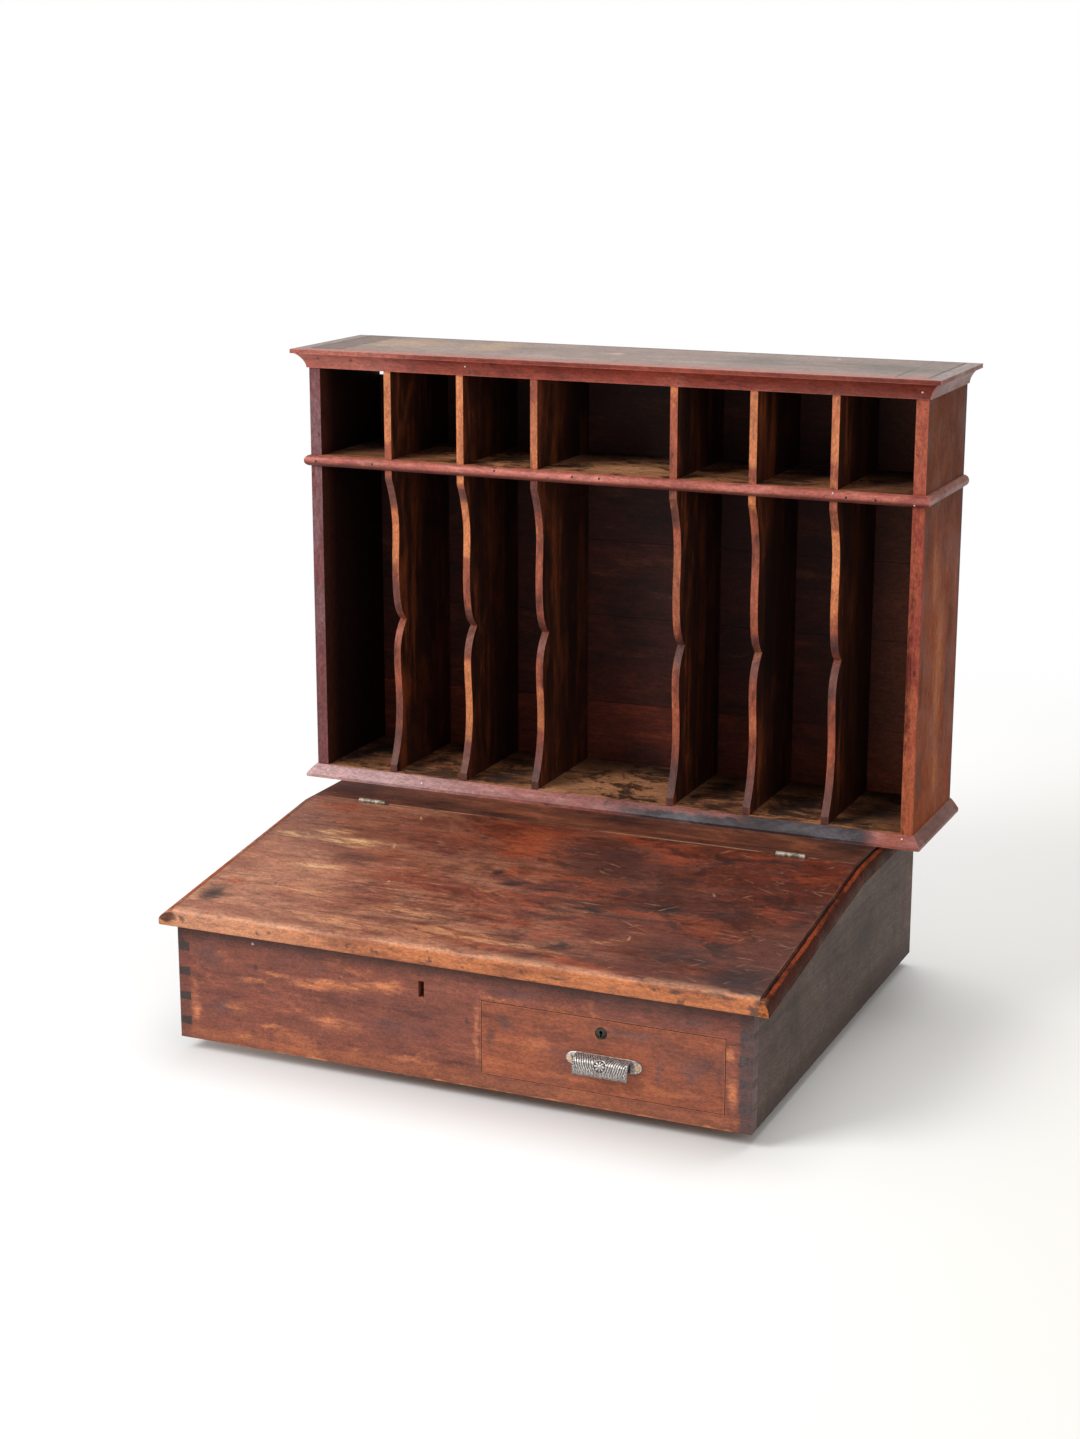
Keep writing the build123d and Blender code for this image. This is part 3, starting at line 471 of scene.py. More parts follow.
    # Painted highlight along the rounded top of the nosing, broken by the mottle.
    nosing_highlight = paint.times(paint.step(y, -0.2895, -0.3015), paint.step(mottle, 0.4, 0.52), paint.facing(2, 1))
    paint.layer((204, 146, 110), nosing_highlight, 0.5)
    paint.layer((50, 27, 21), paint.facing_sideways(), 0.7)
    plain_ends = paint.colour
    paint.run_moulding()
    paint.lay_over(plain_ends, paint.step(y, *NOSING[::-1]))
    paint.layer((178, 104, 70), paint.times(paint.edges(0.0022), paint.step(mottle, 0.42, 0.6)), 0.5)
    rough = paint.sheen(0.36, 0.6)
    bump = paint.plus(paint.grain, paint.times(worn, 0.3))
    return paint.finish(rough, 0.0005, paint.shine, bump=bump)


def rail_material():
    paint = Paint("rail_worn", 5, 0)
    paint.wood((54, 27, 19), (98, 54, 37), (138, 79, 54), 1.3, 14)
    paint.blobs((40, 25, 22), [
        ((-310, 76, 213), (64, 60, 30)), ((325, 80, 213), (50, 60, 30)), ((40, 78, 213), (44, 16, 30)),
        ((-250, 32, 213), (10, 14, 20)),
    ], 0.65)
    paint.blobs((168, 96, 62), [
        ((268, 70, 213), (24, 30, 20)), ((-60, 60, 213), (120, 16, 20)), ((150, 50, 213), (80, 10, 20)),
    ], 0.45)
    seam = paint.rise(1, 0.0335, 0.0295)
    torn = paint.patches(0.46, 0.56, 30, (0.5, 1, 1), 5)
    paint.layer((192, 142, 112), paint.times(torn, paint.facing(2, 1), seam), 0.65)
    paint.speckle((206, 176, 146), 190, 0.68, 0.35)
    paint.layer((46, 28, 22), paint.facing_sideways(), 0.7)
    paint.run_moulding()
    return paint.finish(paint.sheen(0.4, 0.62, 4), 0.0004, paint.shine)


def front_material():
    paint = Paint("front_worn", 7, 0)
    paint.wood((92, 50, 42), (126, 69, 54), (158, 90, 64), 1.1, 14)
    paint.layer((186, 108, 68), paint.patches(0.52, 0.66, 26, (0.7, 1, 1), 8, 0.76, 0.4), 0.6)
    paint.layer((98, 60, 56), paint.patches(0.49, 0.66, 7, (0.7, 1, 1.3), 6, 0.68, 0.6), 0.65)
    paint.blobs((96, 64, 62), marks_on(
        FRONT_FACE,
        (-306, 120, 34, 26), (-84, 68, 34, 14), (70, 128, 60, 10), (-290, 58, 22, 18), (268, 128, 40, 8),
    ), 0.65)
    paint.blobs((204, 124, 80), marks_on(
        FRONT_FACE,
        (-92, 114, 46, 9, (0, -8, 0)), (-160, 107, 46, 7, (0, -6, 0)), (-220, 108, 30, 5),
        (-225, 45, 24, 5), (-150, 60, 50, 16), (-265, 28, 24, 6), (-60, 34, 50, 5), (25, 76, 6, 54),
        (44, 119, 24, 2.5), (311, 100, 10, 18), (314, 58, 9, 30), (-324, 60, 8, 40), (-180, 102, 44, 10),
        (-110, 108, 66, 11, (0, -6, 0)), (-250, 96, 30, 6), (-270, 62, 26, 8),
    ), 0.88, paint.patches(0.38, 0.58, 70, (0.3, 1, 1), 6, 0.7, 0.5))
    paint.layer((176, 102, 62), paint.between(2, 17, 30, 6), 0.4)
    paint.layer((104, 58, 50), paint.torn_rise(0, -0.328, -0.336), 0.6)
    paint.blobs((52, 46, 50), marks_on(
        FRONT_FACE, (-342, 130, 8, 26), (-246, 112, 3, 9), (180, 148, 180, 7),
    ), 0.8)
    paint.layer((74, 62, 64), paint.torn_rise(0, 0.3185, 0.3245), 0.8)
    line = paint.between(2, 10, 15.5, 0.8)
    broken = paint.patches(0.4, 0.5, 20, (0.5, 1, 1), 5)
    paint.layer((192, 116, 72), paint.times(line, broken, paint.facing(1, -1)), 0.85)
    # Lighter edges along the drawer opening: partly wear, partly painted highlight.
    opening_wear_and_highlight = paint.times(paint.edges(0.0016), paint.between(0, 16, 312, 6))
    paint.layer((200, 122, 78), opening_wear_and_highlight, 0.5)
    paint.layer((68, 38, 32), paint.torn_rise(2, 0.12, 0.147), 0.85)
    paint.blobs((206, 196, 188), marks_on(FRONT_FACE, (-247, 137, 1.7, 1.7, (0, 0, 0), 0.6)), 0.75)
    paint.speckle((64, 40, 38), 120, 0.66, 0.5)
    return paint.finish(paint.sheen(0.42, 0.64), 0.0004, 0.35)


def drawer_front_material():
    paint = Paint("drawer_front_worn", 9, 0)
    paint.wood((106, 54, 38), (144, 76, 50), (174, 97, 61), 1.1, 12)
    paint.layer((108, 64, 54), paint.patches(0.52, 0.68, 8, (0.8, 1, 1.3), 7, 0.7, 0.5), 0.6)
    paint.blobs((98, 68, 66), marks_on(
        FRONT_FACE, (268, 72, 24, 24), (200, 103, 60, 8), (60, 92, 16, 12), (234, 66, 7, 26),
    ), 0.6)
    paint.blobs((194, 112, 70), marks_on(
        FRONT_FACE, (96, 76, 26, 14), (130, 44, 80, 6), (240, 46, 60, 8),
    ), 0.45)
    paint.blobs((84, 52, 46), marks_on(
        FRONT_FACE, (39, 78, 7, 30), (55, 96, 14, 14), (300, 74, 6, 34), (285, 84, 20, 16),
    ), 0.6)
    paint.layer((198, 120, 80), paint.edges(0.0015), 0.55)
    # Painted shade in the gap: the drawer front's side and top faces just behind its face made dark.
    gap_shade = paint.math("MAXIMUM", paint.facing(0, 1), paint.facing(2, 1))
    paint.layer((40, 24, 20), paint.times(gap_shade, paint.rise(1, -0.285, -0.2915)), 0.8)
    paint.layer((120, 86, 58), paint.facing(1, 1))
    paint.speckle((70, 42, 36), 120, 0.66, 0.45)
    return paint.finish(paint.sheen(0.42, 0.62), 0.0004, 0.4)


def desk_side_material():
    paint = Paint("desk_side_weathered", 13, 1)
    paint.wood((57, 42, 36), (84, 66, 57), (108, 89, 78), 1.0, 9)
    paint.layer((58, 44, 38), paint.patches(0.5, 0.66, 26, (1, 1, 0.2), 6, 0.7), 0.45)
    # Painted shade: the sides darker towards the bottom, near the floor.
    paint.layer((54, 38, 31), paint.torn_rise(2, 0.06, 0.012), 0.7)
    pins = paint.mix((66, 52, 49), (80, 66, 66), paint.rise(0, -0.2, 0.2))
    paint.layer(pins, paint.facing(1, -1), 0.9)
    fall = paint.times(paint.axis(paint.ragged(), 1), -SIDE_FALL)
    paint.layer((52, 38, 33), paint.step(paint.plus(fall, paint.axis(paint.ragged(), 2)), 0.176, 0.19), 0.5)
    paint.blobs((50, 39, 35), marks_on(DESK_RIGHT_FACE, (-160, 100, 30, 60), (100, 100, 80, 40)), 0.5)
    paint.blobs((108, 94, 85), marks_on(DESK_RIGHT_FACE, (60, 158, 170, 26)), 0.45)
    paint.blobs((112, 64, 48), marks_on(DESK_RIGHT_FACE, (286, 110, 14, 70)), 0.5)
    return paint.finish(0.66, 0.0003, 0.3)


def case_material():
    """The hutch's sides: stained outside and on the front edge, near black inside and darker further back
    with painted shade.
    """
    paint = Paint("hutch_case_worn", 17, 2)
    paint.wood((84, 34, 12), (122, 55, 19), (150, 75, 29), 0.95, 12)
    z = paint.axis(paint.place, 2)
    paint.layer((74, 36, 19), paint.step(z, 0.44, 0.66), 0.65)
    paint.blobs((66, 42, 36), marks_on(
        HUTCH_RIGHT_FACE, (130, 560, 26, 60), (244, 420, 26, 190), (128, 290, 22, 60), (124, 430, 14, 120),
    ), 0.55)
    paint.blobs((168, 100, 54), marks_on(
        HUTCH_RIGHT_FACE, (195, 400, 34, 150), (170, 520, 22, 70), (200, 280, 26, 40),
    ), 0.5)
    paint.layer((70, 62, 72), paint.torn_rise(1, 0.262, 0.276), 0.6)
    x = paint.axis(paint.place, 0)
    outer = paint.math("GREATER_THAN", paint.math("ABSOLUTE", x), HUTCH_HALF - 0.0004)
    # Painted shade: the inner faces darken from the front backwards into the bays.
    depth = paint.rise(1, 0.114, 0.15)
    paint.lay_over(paint.mix((70, 36, 27), (34, 18, 14), depth), outer)
    faces = paint.colour
    paint.colour = paint.mix(BRICK_DEEP, BRICK, paint.step(paint.grain, 0.38, 0.52))
    scuffs_and_glare = paint.patches(0.46, 0.6, 22, (1, 1, 0.5), 7, 0.7)
    # Painted glare on the left front edge, paler and greyer in patches; on the right the same patches are
    # orange scuffs.
    paint.layer((104, 76, 80), paint.step(x, 0.0, -0.3), 0.65)
    paint.layer((128, 100, 104), paint.times(paint.step(x, 0.0, -0.3), scuffs_and_glare), 0.5)
    paint.layer((178, 98, 66), paint.times(paint.step(x, 0.2, 0.3), scuffs_and_glare), 0.65)
    paint.layer((176, 98, 76), paint.times(paint.step(x, 0.2, 0.3), paint.step(z, 0.6, 0.64)), 0.5)
    paint.speckle((60, 34, 32), 90, 0.62, 0.6)
    paint.lay_over(faces, paint.facing(1, -1))
    return paint.finish(paint.step(paint.noise(24), 0.3, 0.7, 0.5, 0.7), 0.0003, 0.06)


def top_material():
    paint = Paint("hutch_top_greyed", 19, 0)
    paint.wood((104, 88, 80), (132, 114, 106), (154, 136, 126), 0.9, 7)
    y = paint.axis(paint.ragged(), 1)
    paint.blobs((176, 144, 112), marks_on(HUTCH_TOP_FACE, (-300, 210, 90, 90), (-190, 220, 60, 90)), 0.5)
    paint.blobs((92, 86, 80), marks_on(HUTCH_TOP_FACE, (330, 190, 110, 90), (160, 200, 80, 80)), 0.6)
    paint.blobs((196, 168, 144), [((-20, 203, 749), (18, 14, 10)), ((237, 254, 749), (5, 14, 10))], 0.8)
    paint.layer((158, 100, 88), paint.step(y, 0.132, 0.112), 0.75)
    aside = paint.math("ABSOLUTE", paint.axis(paint.place, 0))
    paint.layer((96, 80, 73), paint.torn_rise(0, -0.342, -0.35), 0.6)
    line = paint.step(paint.math("ABSOLUTE", paint.plus(aside, -TOP_LINE)), 0.0018, 0.0006)
    paint.layer((62, 50, 46), paint.times(line, paint.patches(0.38, 0.5, 30, (1, 0.6, 1), 5)), 0.75)
    paint.layer((70, 56, 50), paint.step(y, 0.27, 0.276), 0.6)
    paint.layer((58, 48, 46), paint.step(aside, *TOP_JOINT), 0.85)
    paint.speckle((80, 66, 62), 130, 0.64, 0.5)
    # Painted shade: the underside near black.
    paint.layer((24, 14, 12), paint.facing(2, -1))
    return paint.finish(0.5, 0.0003)


def divider_material(name, seed, bare_marks, dark_marks):
    """Dark flanks, darker further back with painted shade, with the front edge worn through its stain to bare
    wood in places.
    """
    paint = Paint(name, seed, 2)
    paint.wood((28, 12, 7), (60, 26, 14), (112, 54, 26), 1.5, 14)
    paint.layer((138, 68, 32), paint.patches(0.5, 0.6, 44, (1, 1, 0.1), 7, 0.74), 0.6)
    paint.layer((24, 12, 9), paint.patches(0.5, 0.6, 20, (1, 1, 0.25), 7, 0.74), 0.7)
    # Painted shade: the flanks darker further back in the bay.
    depth = paint.rise(1, 0.135, 0.215)
    paint.layer((30, 15, 10), depth, 0.5)
    flank = paint.colour
    paint.colour = paint.mix((94, 45, 34), (162, 84, 58), paint.patches(0.36, 0.6, 46, (1, 1, 0.3), 6, 0.7))
    paint.layer(BARE, paint.patches(0.54, 0.64, 18, (1, 1, 0.5), 7, 0.7), 0.8)
    chipped = paint.patches(0.4, 0.52, 40, (1, 1, 0.4), 6, 0.72)
    for low, high, strength in bare_marks:
        mark = paint.times(paint.between(2, low, high, 5), paint.plus(paint.times(chipped, 0.5), 0.5))
        paint.layer((208, 128, 80), mark, strength)
    for low, high, strength in dark_marks:
        mark = paint.times(paint.between(2, low, high, 6), paint.plus(paint.times(chipped, 0.4), 0.6))
        paint.layer((64, 46, 47), mark, strength)
    paint.layer((74, 50, 50), paint.torn_rise(2, 0.31, 0.255), 0.7)
    paint.lay_over(flank, paint.step(paint.times(paint.axis(paint.normal, 1), -1), 0.15, 0.4))
    # Lighter sharp edges near the front: partly wear, partly painted highlight.
    paint.layer((156, 82, 50), paint.times(paint.edges(0.001), paint.step(depth, 0.3, 0.0)), 0.4)
    return paint.finish(0.55, 0.0003, 0.35)


def shelf_material():
    paint = Paint("shelf_bare", 29, 0)
    paint.wood((104, 60, 38), (164, 106, 70), (218, 154, 104), 1.3, 20)
    stain = paint.patches(0.49, 0.56, 22, (0.7, 1, 1), 9, 0.78, 0.6)
    paint.layer((36, 24, 20), stain, 0.82)
    paint.blobs((28, 21, 20), marks_on(
        HUTCH_FLOOR,
        (-135, 158, 56, 80), (-150, 140, 40, 50), (130, 200, 46, 60), (104, 150, 20, 40),
        (235, 180, 50, 70), (215, 150, 26, 50), (330, 184, 50, 66), (310, 150, 30, 50), (-352, 176, 18, 44),
        (-262, 150, 26, 50), (-60, 150, 30, 30), (60, 128, 36, 12), (-330, 218, 42, 36),
    ) + marks_on(
        SHELF_FLOOR, (-330, 208, 60, 60), (230, 208, 60, 60),
    ), 0.8)
    aside = paint.math("ABSOLUTE", paint.axis(paint.ragged(), 0))
    paint.layer((212, 152, 108), paint.times(paint.step(aside, 0.12, 0.08), paint.step(stain, 0.6, 0.2)), 0.4)
    paint.layer((40, 26, 21), paint.step(aside, 0.27, 0.34), 0.45)
    # Painted shade: darker towards the back of the bays.
    paint.layer((22, 15, 13), paint.rise(1, 0.185, 0.262), 0.7)
    fore_edge = paint.times(paint.between(1, 111, 117, 1.5), paint.patches(0.4, 0.55, 40, (0.6, 1, 1), 6))
    paint.layer((204, 138, 86), fore_edge, 0.7)
    # Painted shade: the undersides near black.
    paint.layer((22, 14, 12), paint.facing(2, -1))
    return paint.finish(0.7, 0.0004, 0.3, bump=paint.plus(paint.grain, stain))


def plank_material(name, seed, deep, middle, light):
    paint = Paint(name, seed, 0)
    paint.wood(deep, middle, light, 1.2, 13)
    paint.layer((22, 13, 12), paint.patches(0.52, 0.66, 10, (0.5, 1, 1), 7, 0.7), 0.6)
    paint.layer((128, 70, 44), paint.patches(0.56, 0.68, 30, (0.3, 1, 1.2), 6, 0.7), 0.4)
    paint.layer((164, 92, 64), paint.rise(0, 0.27, 0.34), 0.5)
    paint.layer((28, 14, 11), paint.rise(2, 0.46, 0.54), 0.35)
    weathered = paint.mix((84, 60, 46), (124, 94, 72), paint.patches(0.4, 0.6, 34, (0.12, 1, 1), 7, 0.7))
    paint.layer(weathered, paint.facing(1, 1), 0.88)
    return paint.finish(0.6, 0.0003, 0.3)


def moulding_material(name, seed, along, deep, middle, light, tints=(), stained=False):
    paint = Paint(name, seed, along)
    paint.wood(deep, middle, light, 1.1, 18)
    paint.layer((196, 130, 108), paint.patches(0.56, 0.68, 30, (0.5, 1, 1), 7, 0.72), 0.3)
    for centre, size, tint, strength in tints:
        paint.layer(tint, paint.blob(centre, size, (0, 0, 0), 0.2), strength)
    if stained:
        x = paint.axis(paint.ragged(), 0)
        # Painted sheen: the left end paler and grey-pink.
        paint.layer((208, 172, 172), paint.step(x, -0.1, -0.32), 0.6)
        low = paint.torn_rise(2, 0.226, 0.221, 0.2, 1.0)
        low = paint.math("MAXIMUM", low, paint.step(x, 0.14, 0.2))
        ink = paint.mix(INK, (76, 72, 78), paint.patches(0.42, 0.6, 40, (0.4, 1, 1), 6, 0.7))
        reach = paint.times(paint.step(x, 0.0, 0.065), paint.step(x, 0.35, 0.322))
        paint.layer(ink, paint.times(reach, low), 0.96)
    if along == 1:
        paint.layer((94, 66, 54), paint.torn_rise(1, 0.088, 0.15), 0.7)
    paint.layer((66, 38, 34), paint.patches(0.63, 0.69, 90, (0.6, 1, 1), 4), 0.6)
    paint.layer((196, 122, 98), paint.edges(0.0014), 0.45)
    # Painted shade on the downward faces of the bead.
    shaded_underside = paint.times(paint.step(paint.axis(paint.normal, 2), 0.05, -0.55), paint.between(2, 596, 622, 1))
    paint.layer((70, 32, 26), shaded_underside, 0.8)
    top = paint.times(paint.facing(2, 1), paint.rise(2, 0.745, 0.748))
    paint.layer((158, 116, 106) if along == 0 else (142, 130, 126), top, 0.85)
    return paint.finish(paint.step(paint.noise(24), 0.3, 0.7, 0.38, 0.58), 0.0003, 0.35)


def inner_material():
    paint = Paint("inner_softwood", 41, 1)
    paint.wood((120, 86, 58), (152, 114, 78), (178, 138, 98), 1.0, 8)
    paint.layer((84, 60, 44), paint.patches(0.52, 0.68, 9, (1, 1, 1), 6), 0.5)
    return paint.finish(0.7, 0.0003, 0.3)


def metal_material(name, seed, deep, light, rough, metallic, scale=140):
    paint = Paint(name, seed, 0)
    value = paint.noise(scale, (1, 1, 1), 5, 0.65)
    paint.colour = paint.mix(deep, light, paint.step(value, 0.38, 0.6))
    return paint.finish(rough, 0.0001, metallic=metallic, bump=value, flecks=0.0)


def dress(material, *names):
    """Give whole nodes of the frame one material."""
    for name in names:
        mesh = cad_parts[name].data
        mesh.materials.clear()
        mesh.materials.append(material)
        for face in mesh.polygons:
            face.material_index = 0


def add_object(name, data):
    made = bpy.data.objects.new(name, data)
    bpy.context.scene.collection.objects.link(made)
    return made


# -------------------- small pieces
def mesh_piece(name, vertices, faces, material, body, smooth=False):
    mesh = bpy.data.meshes.new(name)
    mesh.from_pydata([tuple(v) for v in vertices], [], faces)
    mesh.validate()
    mesh.update()
    mesh.materials.append(material)
    for face in mesh.polygons:
        face.use_smooth = smooth
    piece = add_object(name, mesh)
    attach(piece, body)
    return piece


def nail_heads(name, spots, node, radius, material):
    """Domed nail heads set into the face of one moulding; spots are x and z in millimetres."""
    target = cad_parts[node]
    vertices = []
    faces = []
    for x, z in spots:
        start = Vector((x / 1000, -0.5, z / 1000))
        hit, place, normal, _ = target.ray_cast(start, Vector((0, 1, 0)))
        if not hit:
            continue
        side = normal.orthogonal().normalized()
        other = normal.cross(side)
        first = len(vertices)
        vertices.append(place + normal * NAIL_CROWN)
        for ring, lift in NAIL_RINGS:
            for step in range(NAIL_SIDES):
                turn = 2 * math.pi * step / NAIL_SIDES
                out = side * math.cos(turn) + other * math.sin(turn)
                vertices.append(place + out * radius * ring + normal * lift)
        inner = first + 1
        outer = inner + NAIL_SIDES
        for step in range(NAIL_SIDES):
            after = (step + 1) % NAIL_SIDES
            faces.append((first, inner + step, inner + after))
            faces.append((inner + step, outer + step, outer + after, inner + after))
    return mesh_piece(name, vertices, faces, material, "desk", True)


def bezier(points, share):
    """A point on a cubic curve."""
    left = 1 - share
    weights = (left ** 3, 3 * left ** 2 * share, 3 * left * share ** 2, share ** 3)
    return tuple(sum(weight * point[i] for weight, point in zip(weights, points)) for i in (0, 1))


def hood_path(reach, top, count):
    """The hood's end view from the plate to its lower rim: way out and height."""
    curve = [(0, top), (reach * 0.6, top), (reach, top - HOOD_SHOULDER / 2), (reach, top - HOOD_SHOULDER)]
    bend = [bezier(curve, step / (count // 2)) for step in range(count // 2 + 1)]
    drop = top - HOOD_SHOULDER - HOOD_BOTTOM
    rest = count - count // 2
    return bend + [(reach, top - HOOD_SHOULDER - drop * step / rest) for step in range(1, rest + 1)]


def wave(turns):
    """1 at every whole turn and 0 half way between."""
    return 0.5 + 0.5 * math.cos(2 * math.pi * turns)


def ornament(x, along, length):
    """Height of the cast relief, 0 to 1: a rosette between slanting reeds, with a beaded border."""
    half = HOOD_WIDTH / 2
    middle = length * ROSETTE_PLACE
    to_side = half - abs(x)
    border = min(along - BORDER_TOP, length - BORDER_FOOT - along, to_side)
    if border < BORDER_WIDTH:
        return 0.85 * wave((x if border < to_side else along) / BORDER_BEADS)
    radius = math.hypot(x, along - middle)
    turn = math.atan2(along - middle, x)
    if radius < ROSETTE_RADIUS:
        petals = 0.5 + 0.5 * math.cos(ROSETTE_PETALS * turn)
        ring = 1.0 if abs(radius - ROSETTE_RING) < ROSETTE_LINE else 0.0
        core = 1.0 if radius < ROSETTE_CORE else 0.0
        return max(ring, core, petals * math.sin(math.pi * min(radius / PETAL_LENGTH, 1.0)))
    sway = REED_SWAY * math.sin(2 * math.pi * along / length)
    reeds = wave((abs(x) + REED_LEAN * along + sway) / REED_PITCH)
    return 0.15 + 0.6 * reeds if along < REED_END * length else 0.75


def pull_hood(material, tarnish_and_shade):
    """The hood with its cast relief, tarnished in its hollows and dark on its inner faces with painted shade,
    inside the plain hood's own surfaces.
    """
    columns = HOOD_COLUMNS
    rows = HOOD_ROWS
    outer = hood_path(HOOD_REACH, HOOD_TOP, rows)
    inner = hood_path(HOOD_REACH - HOOD_WALL, HOOD_TOP - HOOD_WALL, rows)
    lengths = [0.0]
    for a, b in zip(outer, outer[1:]):
        lengths.append(lengths[-1] + math.hypot(b[0] - a[0], b[1] - a[1]))
    sides = [-HOOD_WIDTH / 2 + HOOD_WIDTH * column / columns for column in range(columns + 1)]
    vertices = []
    for x in sides:
        for row, (out, up) in enumerate(outer):
            low = max(row - 1, 0)
            high = min(row + 1, rows)
            run = (outer[high][0] - outer[low][0], outer[high][1] - outer[low][1])
            size = math.hypot(*run)
            sink = RELIEF * (1 - ornament(x, lengths[row], lengths[-1]))
            out += run[1] / size * sink
            up -= run[0] / size * sink
            vertices.append((PULL_X + x, BOX_FRONT - out, PULL_Z + up))
    offset = len(vertices)
    for x in sides:
        for out, up in inner:
            vertices.append((PULL_X + x, BOX_FRONT - out, PULL_Z + up))
    faces = []
    hollows = []
    line = rows + 1
    for column in range(columns):
        middle = -HOOD_WIDTH / 2 + HOOD_WIDTH * (column + 0.5) / columns
        for row in range(rows):
            a = column * line + row
            if ornament(middle, (lengths[row] + lengths[row + 1]) / 2, lengths[-1]) < HOLLOW:
                hollows.append(len(faces))
            faces.append((a, a + 1, a + line + 1, a + line))
            b = offset + a
            # Painted shade: every inner face of the hood gets the dark material.
            hollows.append(len(faces))
            faces.append((b, b + line, b + line + 1, b + 1))
        a = column * line
        faces.append((a, a + line, offset + a + line, offset + a))
        a += rows
        faces.append((a, offset + a, offset + a + line, a + line))
    for row in range(rows):
        faces.append((row, offset + row, offset + row + 1, row + 1))
        a = columns * line + row
        faces.append((a, a + 1, offset + a + 1, offset + a))
    hood = mesh_piece("drawer_pull_hood", vertices, faces, material, "drawer", True)
    hood.data.materials.append(tarnish_and_shade)
    for face in hollows:
        hood.data.polygons[face].material_index = 1
    return hood


def plate_outline():
    """The back plate from the front: two half ellipses joined by straight edges."""
    half = HOOD_WIDTH / 2
    points = []
    for side in (1, -1):
        for step in range(EAR_STEPS + 1):
            turn = -math.pi / 2 + math.pi * step / EAR_STEPS
            points.append((side * (half + EAR_LENGTH * math.cos(turn)), side * HOOD_TOP * math.sin(turn)))
    return points


def pull_plate(material, tarnish_and_shade):
    """The back plate with its two round ears, softened at the front edge and painted dark with shade under
    the hood.
    """
    outline = plate_outline()
    count = len(outline)
    vertices = []
    for inset, out in ((0.0, 0.0), (0.0, PLATE_THICKNESS - PLATE_BEVEL), (PLATE_BEVEL, PLATE_THICKNESS)):
        for x, z in outline:
            x -= inset * x / math.hypot(x, z)
            z *= 1 - inset / HOOD_TOP
            vertices.append((PULL_X + x, BOX_FRONT - out, PULL_Z + z))
    faces = [tuple(range(count))]
    for level in (0, 1):
        for step in range(count):
            after = (step + 1) % count
            a = level * count
            faces.append((a + step, a + count + step, a + count + after, a + after))
    half = count // 2
    top = 2 * count
    faces.append(tuple(range(top + half - 1, top - 1, -1)))
    faces.append(tuple(range(top + count - 1, top + half - 1, -1)))
    faces.append((top, top + half - 1, top + half, top + count - 1)[::-1])
    plate = mesh_piece("drawer_pull_plate", vertices, faces, material, "drawer")
    plate.data.materials.append(tarnish_and_shade)
    # Painted shade: the plate's middle, under the hood, gets the dark material.
    plate.data.polygons[len(faces) - 1].material_index = 1
    return plate


def pull_rim(material):
    """The rolled lower rim of the hood."""
    out = HOOD_REACH + RIM_PROUD - RIM_RADIUS
    middle = PULL_Z + HOOD_BOTTOM + RIM_RADIUS
    vertices = []
    faces = []
    for end in (-1, 1):
        for step in range(RIM_SIDES):
            turn = 2 * math.pi * step / RIM_SIDES
            y = BOX_FRONT - out - RIM_RADIUS * math.cos(turn)
            vertices.append((PULL_X + end * HOOD_WIDTH / 2, y, middle + RIM_RADIUS * math.sin(turn)))
    for step in range(RIM_SIDES):
        after = (step + 1) % RIM_SIDES
        faces.append((step, after, RIM_SIDES + after, RIM_SIDES + step))
    faces.append(tuple(range(RIM_SIDES - 1, -1, -1)))
    faces.append(tuple(range(RIM_SIDES, 2 * RIM_SIDES)))
    return mesh_piece("drawer_pull_rim", vertices, faces, material, "drawer")


# -------------------- dress the frame
INNER_NODES = (
    "drawer_side", "drawer_back", "drawer_bottom", "drawer_partition", "drawer_rear_wall", "drawer_runners",
    "drawer_guide", "dust_board", "floor_batten", "desk_bottom",
)
dress(case_material(), "hutch_side_left", "hutch_side_right")
dress(shelf_material(), "hutch_shelf", "hutch_bottom")
dress(top_material(), "hutch_top")
dress(lid_material(), "lid")
dress(rail_material(), "hinge_rail")
dress(front_material(), "desk_front")
dress(drawer_front_material(), "drawer_front")
dress(desk_side_material(), "desk_side_left", "desk_side_right", "desk_back")
dress(inner_material(), *(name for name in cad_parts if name.startswith(INNER_NODES)))
dress(plank_material("plank_red", 31, (58, 21, 14), (92, 35, 21), (126, 54, 31)), "back_plank_1")
brown_plank = plank_material("plank_brown", 33, (38, 15, 10), (66, 24, 15), (92, 38, 23))
dress(brown_plank, *(f"back_plank_{number}" for number in range(2, 6)))

# Each divider's front edge: bare and dark marks as lowest z, highest z in millimetres and strength.
EDGE_MARKS = {
    "upper": [
        ([(640, 740, 0.8)], []),
        ([(612, 740, 0.95)], []),
        ([(630, 700, 0.4)], []),
        ([], []),
        ([(640, 735, 0.7)], []),
        ([(650, 740, 0.75)], []),
    ],
    "lower": [
        ([], [(560, 600, 0.7), (422, 470, 0.5), (290, 330, 0.5)]),
        (
            [(592, 607, 1.0), (505, 575, 0.95), (275, 375, 0.9)],
            [(575, 590, 0.7), (420, 440, 0.7), (380, 422, 0.4)],
        ),
        ([(300, 350, 0.6)], [(565, 600, 0.7), (420, 440, 0.6), (385, 420, 0.5)]),
        ([(440, 530, 0.2)], [(560, 600, 0.6), (395, 428, 0.8)]),
        ([(320, 345, 0.4)], [(380, 440, 0.7)]),
        ([(505, 570, 0.85)], [(422, 450, 0.8), (370, 420, 0.7), (575, 595, 0.6)]),
    ],
}
for seed, (level, dividers) in zip((50, 56), EDGE_MARKS.items()):
    for number, marks in enumerate(dividers):
        node = f"{level}_divider_{number + 1}"
        dress(divider_material(node + "_worn", seed + number, *marks), node)

